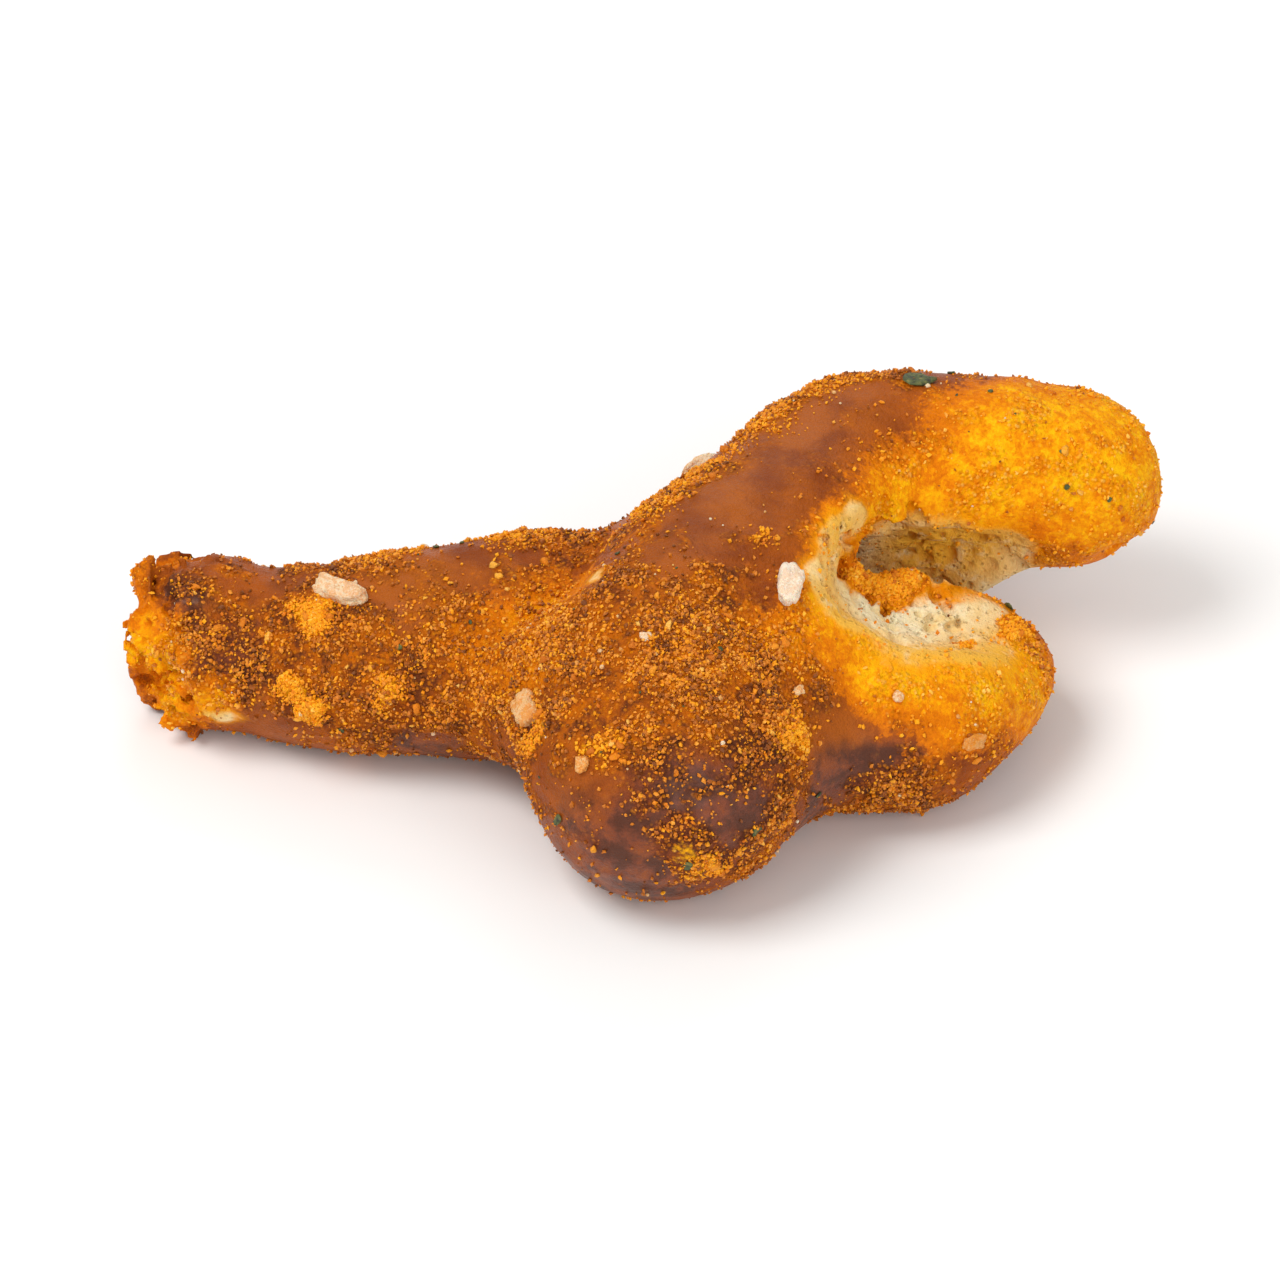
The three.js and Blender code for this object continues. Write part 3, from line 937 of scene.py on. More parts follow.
    def roughen(self, points: np.ndarray, faces: np.ndarray) -> np.ndarray:
        """Gives the crust its grit, blisters and wrinkles.

        Args:
            points: Vertices in mm.
            faces: Triangles.

        Returns:
            The moved points, inside the solid's box.
        """
        zones, size = self.zones(points), self.relief
        lumps, grit = Lumps(self.CRUST_SEED), Grit(self.GRIT_SEED)
        crust = 1 - 0.8 * self.torn(points)
        open_crust = 1 - 0.75 * zones[Zone.BARE]
        dusty = np.clip(0.30 + zones[Zone.DUST] - 0.5 * zones[Zone.CRUMB], 0, 1) * open_crust
        thick = self.thickness(points, zones[Zone.CLUMP])
        warped = points + 0.25 * lumps.shifts(points, 0.9, 9.0)
        coarse, fine = grit(warped, size.coarse_length), grit(warped + 5.0, size.fine_length)
        grains = size.coarse_grit * coarse + size.fine_grit * fine
        height = crust * dusty * (0.3 + 0.7 * thick) * grains
        bed = size.thick_bed * thick - size.thick_bed + size.bed_lumps * lumps(points + 3.0, 0.5)
        height += crust * dusty * bed
        height += zones[Zone.CLUMP] * (size.clump + 0.12 * fine + 0.10 * coarse)
        blisters = lumps.layered(points, size.blister_length, 2)
        height += crust * (size.swell * lumps(points + 7.0, size.swell_length) + size.blister * blisters)
        wrinkled = lumps.layered(points * (0.45, 1.0, 1.0), size.wrinkle_length, 2)
        wrinkle = size.bare_wrinkle * zones[Zone.BARE] + size.scorched_wrinkle * zones[Zone.SCORCH]
        height += crust * wrinkle * wrinkled
        height += size.crumb_grit * (1 - crust) * grit(points + 2.0, size.crumb_length)
        height -= size.crease_depth * np.exp(-((self.from_crease(points) / size.crease_width) ** 2))
        height[points[:, 2] < size.sole_height] *= size.sole_share
        moved = points + normals_at(points, faces) * height[:, None]
        return np.clip(moved, self.low, self.high)

    def thickness(self, points: np.ndarray, clump: np.ndarray) -> np.ndarray:
        """How thick the seasoning lies where there is any.

        Args:
            points: Places in mm, one a row.
            clump: How strongly seasoning clumps there, from 0 to 1.

        Returns:
            One share for each place, from 0 to 1.
        """
        heaped = Lumps(self.CRUST_SEED).layered(points, self.heap_length, 3)
        return np.maximum(ease(heaped, *self.heaps), clump)

    def zones(self, points: np.ndarray) -> dict[Zone, np.ndarray]:
        """How strongly each zone holds at points.

        Args:
            points: Places in mm, one a row.

        Returns:
            For each zone, one share from 0 to 1 for each place.
        """
        lumps = Lumps(self.ZONE_SEED)
        broad, ragged = lumps.shifts(points, 2.6, 40.0, 3), lumps.shifts(points, 1.1, 70.0, 2)
        found = {}
        for zone, spread in PATCHES.items():
            left = np.ones(len(points))
            moved = points - RECENTRED + self.zone_warp * (ragged if zone is Zone.CLUMP else broad)
            for patch in spread:
                gap = ((moved - np.array(patch.at)) ** 2).sum(1) / patch.reach**2
                left *= 1 - patch.strength * np.exp(-(gap**1.5))
            found[zone] = 1 - left
        return found

    def paint(self, made: bpy.types.Object) -> None:
        """Stores what the finish needs to know at each vertex.

        Args:
            made: The finished mesh object.
        """
        points = points_of(made.data)
        layers = {zone.value: share for zone, share in self.zones(points).items()}
        layers["torn"] = self.torn(points)
        layers["thick"] = self.thickness(points, layers["clump"])
        layers["rim"] = np.exp(-((np.clip(self.from_tear(points), 0, None) / self.rim_width) ** 2))
        for name, share in layers.items():
            store(made, name, share)

    def build(self, solid: bpy.types.Object) -> bpy.types.Object:
        """Sculpts the body in the place of the solid.

        Args:
            solid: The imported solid.

        Returns:
            The finished object.
        """
        self.field_of(solid)
        self.soften()
        self.break_tip()
        self.tear()
        points, faces = self.skin()
        LOG.info("skin: %d triangles", len(faces))
        points = self.roughen(points, faces)
        dense = mesh_of(self.name, points, faces)
        if len(faces) > self.triangles:
            thinner = dense.modifiers.new("thinner", "DECIMATE")
            thinner.ratio = self.triangles / len(faces)
            result = dense.evaluated_get(bpy.context.evaluated_depsgraph_get())
            mesh = bpy.data.meshes.new_from_object(result)
            dense.modifiers.clear()
            dense.data = mesh
            mesh.name = self.name
        self.paint(dense)
        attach(dense, BODY)
        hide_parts(NODE)
        return dense


# ---------------------------------------------------------------- what lies on the crust


def within_box(groups: np.ndarray) -> np.ndarray:
    """Which groups of points, in mm, lie wholly in the solid's box."""
    return ((groups > BOX_LOW) & (groups < BOX_HIGH)).all((1, 2))


def store(made: bpy.types.Object, name: str, values: np.ndarray) -> None:
    """Stores a number at each vertex of a piece under a name."""
    layer = made.data.attributes.new(name, "FLOAT", "POINT")
    layer.data.foreach_set("value", values.astype(np.float32))


@dataclass(frozen=True)
class Ground:
    """The dough's surface as triangles that small pieces are placed on."""

    points: np.ndarray
    faces: np.ndarray
    shares: dict[str, np.ndarray]
    tree: BVHTree

    @classmethod
    def of(cls, body: bpy.types.Object) -> "Ground":
        """Reads the body's mesh and what is stored at its vertices.

        Args:
            body: The finished dough.

        Returns:
            Its surface.
        """
        mesh = body.data
        points, faces = points_of(mesh), triangles_of(mesh)
        shares = {}
        for layer in mesh.attributes:
            if layer.data_type == "FLOAT" and layer.domain == "POINT":
                values = np.zeros(len(mesh.vertices), np.float32)
                layer.data.foreach_get("value", values)
                shares[layer.name] = values.astype(float)
        tree = BVHTree.FromPolygons([Vector(p) for p in points], faces.tolist())
        return cls(points, faces, shares, tree)

    def at_faces(self, name: str) -> np.ndarray:
        """The mean of a stored share over each triangle."""
        return self.shares[name][self.faces].mean(1)

    def above(self, height: float) -> np.ndarray:
        """Which triangles lie higher than so many mm."""
        return self.points[self.faces].mean(1)[:, 2] > height

    def nearest(self, place: Point) -> tuple[np.ndarray, Vector]:
        """The surface's nearest point to a place of the source, and its normal."""
        point, normal, _, _ = self.tree.find_nearest(Vector(place) + Vector(RECENTRED))
        return np.array(point), normal

    def draw(self, weight: np.ndarray, count: int,
             rng: np.random.Generator) -> tuple[np.ndarray, np.ndarray, np.ndarray]:
        """Draws places on the surface.

        Args:
            weight: How likely each triangle is, for its area.
            count: How many places.
            rng: The seeded source of chance.

        Returns:
            Places in mm, outward normals and the triangles' numbers, one a row.
        """
        a, b, c = (self.points[self.faces[:, i]] for i in range(3))
        across = np.cross(b - a, c - a)
        area = np.linalg.norm(across, axis=1)
        chance = area * np.clip(weight, 0, None)
        chosen = rng.choice(len(area), count, p=chance / chance.sum())
        u, v = rng.random((2, count, 1))
        u, v = np.where(u + v > 1, 1 - u, u), np.where(u + v > 1, 1 - v, v)
        places = a[chosen] + u * (b[chosen] - a[chosen]) + v * (c[chosen] - a[chosen])
        return places, across[chosen] / area[chosen, None], chosen


def joined(name: str, forms: list[np.ndarray], rows: list[np.ndarray]) -> bpy.types.Object:
    """Joins many closed forms in one smooth object, held inside the solid's box.

    Args:
        name: The object's name.
        forms: The points of each form in mm.
        rows: The triangles of each form, counted from its first point.

    Returns:
        The object.
    """
    firsts = np.cumsum([0] + [len(form) for form in forms[:-1]])
    faces = np.vstack([row + first for row, first in zip(rows, firsts)])
    return mesh_of(name, np.clip(np.vstack(forms), BOX_LOW, BOX_HIGH), faces)


def ball(detail: int) -> tuple[np.ndarray, np.ndarray]:
    """Makes a round ball of radius 1.

    Args:
        detail: How finely its surface is divided.

    Returns:
        Points and triangles of the closed form.
    """
    made = bmesh.new()
    bmesh.ops.create_icosphere(made, subdivisions=detail, radius=1.0)
    points = np.array([v.co for v in made.verts])
    faces = np.array([[v.index for v in f.verts] for f in made.faces])
    made.free()
    return points, faces


def worn_block(detail: int, seed: int, squareness: float, wear: float) -> tuple[np.ndarray, np.ndarray]:
    """Points and triangles of a worn, chipped block about 2 across.

    Args:
        detail: How finely its surface is divided.
        seed: Another seed gives another block.
        squareness: 2 for a ball, more for a block.
        wear: How deep its dents are.

    Returns:
        Points and triangles of the closed form.
    """
    points, faces = ball(detail)
    reach = (np.abs(points) ** squareness).sum(1) ** (-1 / squareness)
    lumps = Lumps(seed)
    dents = lumps(points, 0.8) + 0.6 * lumps(points + 4.0, 0.35) + 0.3 * lumps(points + 8.0, 0.16)
    cut = np.clip(Facets(seed)(points, 1.1), -0.6, 0.6)
    return points * (reach * (1 + wear * dents + 0.5 * wear * cut))[:, None], faces


def turned(rng: np.random.Generator, normals: np.ndarray, lean: float) -> np.ndarray:
    """Random turns whose third axis leans at most about so far from each normal.

    Args:
        rng: The seeded source of chance.
        normals: Outward normals, one a row.
        lean: 0 for upright on the crust, 1 for any way round.

    Returns:
        One 3 by 3 matrix of axes in columns for each normal.
    """
    up = normals + lean * rng.normal(size=normals.shape)
    up /= np.linalg.norm(up, axis=1, keepdims=True)
    side = np.cross(up, rng.normal(size=normals.shape))
    side /= np.linalg.norm(side, axis=1, keepdims=True)
    return np.stack([side, np.cross(up, side), up], axis=2)


def bipyramid(sides: int) -> tuple[np.ndarray, np.ndarray]:
    """Makes a double pyramid of radius 1.

    Args:
        sides: How many sides it has around.

    Returns:
        Points and triangles of the closed form.
    """
    around = np.arange(sides) * 2 * math.pi / sides
    ring = np.stack([np.cos(around), np.sin(around), np.zeros(sides)], axis=1)
    after = (np.arange(sides) + 1) % sides
    above = np.stack([np.arange(sides), after, np.full(sides, sides)], axis=1)
    below = np.stack([after, np.arange(sides), np.full(sides, sides + 1)], axis=1)
    return np.vstack([ring, (0, 0, 1), (0, 0, -1)]), np.vstack([above, below])


@dataclass(frozen=True)
class Likes:
    """How much grains of one kind lie on each zone, and how much they clump."""

    everywhere: float
    dust: float = 0.0
    gold: float = 0.0
    clump: float = 0.0
    off_bare: float = 0.75
    off_crumb: float = 0.9
    clumping: float = 0.88


@dataclass
class Scatter:
    """Many small grains of one kind on the dough, joined in one mesh."""

    name: str
    slot: str
    count: int
    sizes: Span
    likes: Likes
    seed: int
    smooth: bool = False
    flatness: float = 0.85
    sink: float = 0.45
    lean: float = 1.0
    kinds: int = 16
    bumpiness: float = 0.30
    lowest: float = 0.35

    def forms(self, rng: np.random.Generator) -> tuple[list[np.ndarray], np.ndarray]:
        """Makes a few uneven grains to choose from.

        Args:
            rng: The seeded source of chance.

        Returns:
            The points of each grain, and the triangles they share.
        """
        points, faces = ball(2) if self.smooth else bipyramid(5)
        lumps = Lumps(self.seed + 1)
        made = []
        for kind in range(self.kinds):
            away = 1 + 2 * self.bumpiness * lumps.layered(points + 17.0 * kind, 0.9, 2)
            stretch = rng.uniform(0.7, 1.25, 3) * (1, 1, self.flatness)
            made.append(points * away[:, None] * stretch)
        return made, faces

    def weight(self, ground: Ground) -> np.ndarray:
        """How likely each triangle of the dough is to carry a grain.

        Args:
            ground: The dough's surface.

        Returns:
            One weight for each triangle, for its area.
        """
        share = {zone: ground.at_faces(zone.value) for zone in Zone}
        chance = self.likes.everywhere + self.likes.dust * share[Zone.DUST] ** 1.3
        chance += self.likes.gold * share[Zone.GOLD]
        chance *= 1 - self.likes.clumping * (1 - ground.at_faces("thick"))
        chance *= 1 - self.likes.off_bare * share[Zone.BARE] * (1 - 0.6 * share[Zone.DUST])
        chance *= 1 - self.likes.off_crumb * share[Zone.CRUMB]
        chance += self.likes.clump * share[Zone.CLUMP] ** 2
        return chance * ground.above(self.lowest)

    def build(self, ground: Ground) -> bpy.types.Object:
        """Scatters the grains and joins them.

        Args:
            ground: The dough's surface.

        Returns:
            The object that holds them all, with a tint and a ripeness stored for each grain.
        """
        rng = np.random.default_rng(self.seed)
        places, normals, chosen = ground.draw(self.weight(ground), self.count, rng)
        forms, faces = self.forms(rng)
        small, large = self.sizes
        size = small + (large - small) * rng.random(self.count) ** 2.0
        shapes = np.stack(forms)[rng.integers(0, len(forms), self.count)] * size[:, None, None]
        shapes = np.einsum("nij,nkj->nki", turned(rng, normals, self.lean), shapes)
        middles = places + normals * (size * self.flatness * (1 - self.sink))[:, None]
        points = shapes + middles[:, None]
        inside = within_box(points)
        each = len(forms[0])
        rows = faces[None] + (np.arange(inside.sum()) * each)[:, None, None]
        made = mesh_of(self.name, points[inside].reshape(-1, 3), rows.reshape(-1, 3), self.smooth)
        store(made, "tint", np.repeat(rng.random(self.count)[inside], each))
        ripe = np.maximum(ground.at_faces("gold"), ground.at_faces("clump"))
        store(made, "ripe", np.repeat(ripe[chosen][inside], each))
        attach(made, BODY)
        return made


@dataclass(frozen=True)
class Crystal:
    """A single piece: a place near it, half sizes in mm, turn in degrees and how pale it is."""

    near: Point
    half: Point
    turn: float
    pale: float = 0.2

    def axes(self, normal: Vector) -> np.ndarray:
        """The piece's axes in columns when it lies on a surface with that normal."""
        upright = Vector((0, 0, 1)).rotation_difference(normal).to_matrix()
        return np.array(upright @ turn(self.turn, "Z"))


@dataclass
class Salt:
    """The coarse salt baked onto the crust, chipped and a little worn."""

    SPECK_SEED: ClassVar[int] = 141

    name: str = "salt_crystals"
    slot: str = "salt"
    seed: int = 51
    crystals: tuple[Crystal, ...] = (
        Crystal((-15.4, 0.7, 9.7), (1.28, 0.60, 0.52), -22, 0.78),
        Crystal((7.5, -3.4, 13.2), (0.60, 0.96, 0.42), -8, 1.0),
        Crystal((-3.4, -7.4, 7.5), (0.80, 0.74, 0.55), 100, 0.5),
        Crystal((-1.4, -11.2, 8.0), (0.42, 0.32, 0.30), 75, 0.45),
        Crystal((0.4, -7.9, 13.1), (0.27, 0.22, 0.26), 10, 0.9),
        Crystal((7.8, -7.9, 10.0), (0.28, 0.24, 0.26), 30, 0.6),
        Crystal((13.0, -6.1, 8.3), (0.26, 0.24, 0.26), 55, 0.7),
        Crystal((16.9, -6.3, 5.6), (0.62, 0.34, 0.28), 20, 0.25),
        Crystal((-11.0, 6.8, 6.5), (1.20, 0.70, 0.50), 65, 0.9),
        Crystal((-19.5, 6.8, 5.8), (0.70, 0.55, 0.40), 15, 0.7),
        Crystal((3.5, 9.5, 10.5), (0.90, 0.70, 0.45), 35, 0.8),
        Crystal((9.5, 16.5, 8.5), (1.30, 0.80, 0.55), -30, 1.0),
        Crystal((20.0, 16.4, 9.0), (0.80, 0.60, 0.45), 80, 0.6),
    )
    specks: int = 150
    speck_kinds: int = 8
    speck_sizes: Span = (0.05, 0.14)
    squareness: float = 4.0
    wear: float = 0.26
    stand: float = 0.1
    lowest: float = 0.5

    def build(self, ground: Ground) -> bpy.types.Object:
        """Sets the crystals on the crust with fine salt between them.

        Args:
            ground: The dough's surface.

        Returns:
            The object that holds all the salt.
        """
        rng = np.random.default_rng(self.seed)
        forms, rows = [], []
        tints = [crystal.pale for crystal in self.crystals] + list(rng.uniform(0.2, 1.0, self.specks))
        for number, crystal in enumerate(self.crystals):
            place, normal = ground.nearest(crystal.near)
            form, faces = worn_block(4, self.seed + number, self.squareness, self.wear)
            form = (form * crystal.half) @ crystal.axes(normal).T
            forms.append(form + place + np.array(normal) * crystal.half[2] * self.stand)
            rows.append(faces)
        weight = (0.3 + ground.at_faces("dust")) * ground.above(self.lowest)
        small, large = self.speck_sizes
        places, normals, _ = ground.draw(weight, self.specks, rng)
        blocks = [worn_block(1, self.SPECK_SEED + kind, 3.0, 0.2) for kind in range(self.speck_kinds)]
        for place, normal, axes in zip(places, normals, turned(rng, normals, 0.5)):
            form, faces = blocks[rng.integers(len(blocks))]
            size = small + (large - small) * rng.random() ** 2
            forms.append((form * size) @ axes.T + place + normal * size * 0.5)
            rows.append(faces)
        made = joined(self.name, forms, rows)
        store(made, "tint", np.concatenate([np.full(len(form), tint) for form, tint in zip(forms, tints)]))
        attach(made, BODY)
        return made


@dataclass
class HerbFlecks:
    """Dried green herb and black flecks: small curled flakes lying on the crust."""

    name: str = "herb_flecks"
    slot: str = "herb"
    seed: int = 61
    placed: tuple[Crystal, ...] = (
        Crystal((14.4, 12.3, 14.6), (0.85, 0.60, 0.12), 10),
        Crystal((19.0, 4.3, 5.9), (0.55, 0.30, 0.08), 60),
        Crystal((21.8, 8.5, 12.9), (0.20, 0.14, 0.06), 0),
        Crystal((22.0, 7.4, 11.4), (0.16, 0.12, 0.06), 40),
        Crystal((24.2, 7.6, 10.5), (0.15, 0.12, 0.06), 80),
        Crystal((18.1, 11.5, 14.5), (0.16, 0.12, 0.06), 20),
        Crystal((2.4, -15.3, 5.2), (0.42, 0.25, 0.10), 30),
        Crystal((5.4, -13.5, 6.0), (0.30, 0.20, 0.08), 70),
        Crystal((-4.4, -13.7, 6.4), (0.40, 0.22, 0.08), 15),
        Crystal((9.0, -9.9, 5.0), (0.30, 0.16, 0.07), 50),
        Crystal((-12.2, -2.1, 8.4), (0.26, 0.16, 0.07), 5),
        Crystal((-2.2, 9.3, 5.0), (0.60, 0.30, 0.09), 35),
        Crystal((7.8, 16.9, 8.0), (0.50, 0.28, 0.09), 75),
    )
    strays: int = 46
    stray_sizes: Span = (0.08, 0.22)
    stand: float = 0.8
    lowest: float = 0.5

    def flake(self, rng: np.random.Generator, half: Sequence[float]) -> tuple[np.ndarray, np.ndarray]:
        """A thin closed flake, ragged at its edge and curled.

        Args:
            rng: The seeded source of chance.
            half: Half sizes in mm.

        Returns:
            Points and triangles.
        """
        points, faces = ball(2)
        edge = 1 + 0.5 * Lumps(int(rng.integers(1, 10_000))).layered(points * (1, 1, 0), 0.8, 2)
        form = points * edge[:, None] * half
        form[:, 2] += 0.35 * half[0] * ((form[:, 0] / half[0]) ** 2 - 0.4) * rng.uniform(0.3, 1.0)
        return form, faces

    def build(self, ground: Ground) -> bpy.types.Object:
        """Lays the flakes on the crust.

        Args:
            ground: The dough's surface.

        Returns:
            The object that holds them all.
        """
        rng = np.random.default_rng(self.seed)
        lying = [(fleck, *ground.nearest(fleck.near)) for fleck in self.placed]
        small, large = self.stray_sizes
        weight = (0.25 + ground.at_faces("dust")) * ground.above(self.lowest)
        places, normals, _ = ground.draw(weight, self.strays, rng)
        for place, normal in zip(places, normals):
            size = small + (large - small) * rng.random() ** 2
            stray = Crystal(place, (size, size * 0.7, size * 0.35), rng.uniform(0, 180))
            lying.append((stray, place, normal))
        forms, rows = [], []
        for fleck, place, normal in lying:
            form, faces = self.flake(rng, fleck.half)
            up = np.array(normal) * fleck.half[2] * self.stand
            forms.append(form @ fleck.axes(Vector(normal)).T + place + up)
            rows.append(faces)
        made = joined(self.name, forms, rows)
        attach(made, BODY)
        return made


# ---------------------------------------------------------------- shader maths


@dataclass(frozen=True)
class Tone:
    """A colour as it looks: red, green and blue from 0 to 255."""

    red: float
    green: float
    blue: float

    def light(self) -> tuple[float, float, float, float]:
        """The colour as amounts of light.

        Returns:
            Red, green, blue and full cover, from 0 to 1.
        """
        shares = (c / 255 for c in (self.red, self.green, self.blue))
        r, g, b = (c / 12.92 if c <= 0.04045 else ((c + 0.055) / 1.055) ** 2.4 for c in shares)
        return r, g, b, 1.0


class Signal:
    """A number that changes over a surface. Its operators add Math nodes."""

    def __init__(self, wiring: "Wiring", socket: bpy.types.NodeSocket) -> None:
        """Wraps a socket of the material that wiring builds."""
        self.wiring, self.socket = wiring, socket

    def _math(self, operation: str, first: Any, second: Any) -> "Signal":
        """The result of a Math node on two values."""
        return self.wiring.signal("ShaderNodeMath", {"operation": operation}, {0: first, 1: second})

    def __add__(self, other: "Signal | float") -> "Signal":
        """Sum."""
        return self._math("ADD", self, other)

    def __sub__(self, other: "Signal | float") -> "Signal":
        """Difference."""
        return self._math("SUBTRACT", self, other)

    def __rsub__(self, other: float) -> "Signal":
        """Difference from a number."""
        return self._math("SUBTRACT", other, self)

    def __mul__(self, other: "Signal | float") -> "Signal":
        """Product."""
        return self._math("MULTIPLY", self, other)

    __radd__ = __add__
    __rmul__ = __mul__

    def either(self, other: "Signal | float") -> "Signal":
        """The larger of two values."""
        return self._math("MAXIMUM", self, other)

    def ease(self, low: float, high: float) -> "Signal":
        """Rises smoothly from 0 at low to 1 at high."""
        settings = {"interpolation_type": "SMOOTHSTEP"}
        return self.wiring.signal("ShaderNodeMapRange", settings, {0: self, 1: low, 2: high})


class Wiring:
    """Builds the node tree of one material."""

    def __init__(self, name: str) -> None:
        """Starts an empty material.

        Args:
            name: The material's name.
        """
        self.material = bpy.data.materials.new(name)
        self.material.use_nodes = True
        self.tree = self.material.node_tree
        self.tree.nodes.clear()

    def node(self, kind: str, settings: dict[str, Any] | None = None,
             inputs: dict[str | int, Any] | None = None) -> bpy.types.Node:
        """Adds a node.

        Args:
            kind: The node's type.
            settings: Its properties, or "stops" for a ramp; they are set first.
            inputs: Values or links for its sockets, by name or number.

        Returns:
            The node.
        """
        made = self.tree.nodes.new(kind)
        for key, value in (settings or {}).items():
            if key == "stops":
                self.set_stops(made.color_ramp, value)
            else:
                setattr(made, key, value)
        for key, value in (inputs or {}).items():
            socket = made.inputs[key]
            if isinstance(value, Signal):
                value = value.socket
            if isinstance(value, bpy.types.NodeSocket):
                self.tree.links.new(value, socket)
            elif isinstance(value, Tone):
                socket.default_value = value.light()
            else:
                socket.default_value = value
        return made

    @staticmethod
    def set_stops(ramp: bpy.types.ColorRamp, stops: Sequence[tuple[float, Tone]]) -> None:
        """Gives a colour ramp its stops.

        Args:
            ramp: The ramp.
            stops: Places from 0 to 1 and their tones, the lowest first.
        """
        while len(ramp.elements) > 1:
            ramp.elements.remove(ramp.elements[-1])
        ramp.elements[0].position, ramp.elements[0].color = stops[0][0], stops[0][1].light()
        for place, tone in stops[1:]:
            ramp.elements.new(place).color = tone.light()

    def signal(self, kind: str, settings: dict[str, Any] | None = None,
               inputs: dict[str | int, Any] | None = None, output: str | int = 0) -> Signal:
        """Adds a node and gives one of its outputs as a number to work with."""
        return Signal(self, self.node(kind, settings, inputs).outputs[output])

    def stored(self, name: str) -> Signal:
        """What is stored at the mesh's vertices under a name."""
        return self.signal("ShaderNodeAttribute", {"attribute_name": name}, output="Fac")

    def place(self, shift: float = 0.0, stretch: Point = (1.0, 1.0, 1.0)) -> bpy.types.NodeSocket:
        """The place on the object in mm.

        Args:
            shift: How far it is moved along each axis.
            stretch: How much it is stretched along each axis.

        Returns:
            A vector socket.
        """
        where = self.node("ShaderNodeTexCoord").outputs["Object"]
        scale = tuple(s / MM for s in stretch)
        inputs = {"Vector": where, "Location": (shift,) * 3, "Scale": scale}
        return self.node("ShaderNodeMapping", None, inputs).outputs[0]

    def noise(self, length: float, detail: float, rough: float = 0.5, warp: float = 0.0,
              shift: float = 0.0, stretch: Point = (1.0, 1.0, 1.0)) -> Signal:
        """Cloudy unevenness.

        Args:
            length: Size of a cloud in mm.
            detail: How many finer layers it has.
            rough: How strong the finer layers are.
            warp: How much the clouds are bent.
            shift: Another shift gives other clouds.
            stretch: How much shorter they are along each axis.

        Returns:
            A number from 0 to 1.
        """
        inputs = {"Vector": self.place(shift, stretch), "Scale": 1 / length, "Detail": detail,
                  "Roughness": rough, "Distortion": warp}
        return self.signal("ShaderNodeTexNoise", {"noise_dimensions": "3D"}, inputs)

    def cells(self, length: float, output: str = "Distance", shift: float = 0.0) -> Signal:
        """Cells about length mm across: the distance from their middles, or a random colour each."""
        inputs = {"Vector": self.place(shift), "Scale": 1 / length}
        return self.signal("ShaderNodeTexVoronoi", {"feature": "F1"}, inputs, output)

    def ramp(self, at: Signal, stops: Sequence[tuple[float, Tone]]) -> bpy.types.NodeSocket:
        """The colour of a ramp at a value."""
        return self.node("ShaderNodeValToRGB", {"stops": stops}, {0: at}).outputs[0]

    def mix(self, share: Signal | float, first: Any, second: Any) -> bpy.types.NodeSocket:
        """Two colours mixed: the first at 0 and the second at 1."""
        return self.node("ShaderNodeMix", {"data_type": "RGBA"}, {0: share, 6: first, 7: second}).outputs[2]

    def bump(self, height: Signal, reach: float) -> bpy.types.NodeSocket:
        """A normal bent by a height from 0 to 1 that stands for so many mm."""
        inputs = {"Height": height, "Distance": reach * MM, "Strength": 1.0}
        return self.node("ShaderNodeBump", None, inputs).outputs[0]

    def shade(self, inputs: dict[str | int, Any]) -> bpy.types.Material:
        """Ends the material with a surface.

        Args:
            inputs: Values or links for the surface's sockets.

        Returns:
            The material.
        """
        surface = self.node("ShaderNodeBsdfPrincipled", {"subsurface_method": "RANDOM_WALK"}, inputs)
        self.node("ShaderNodeOutputMaterial", None, {"Surface": surface.outputs[0]})
        return self.material


# ---------------------------------------------------------------- finishes


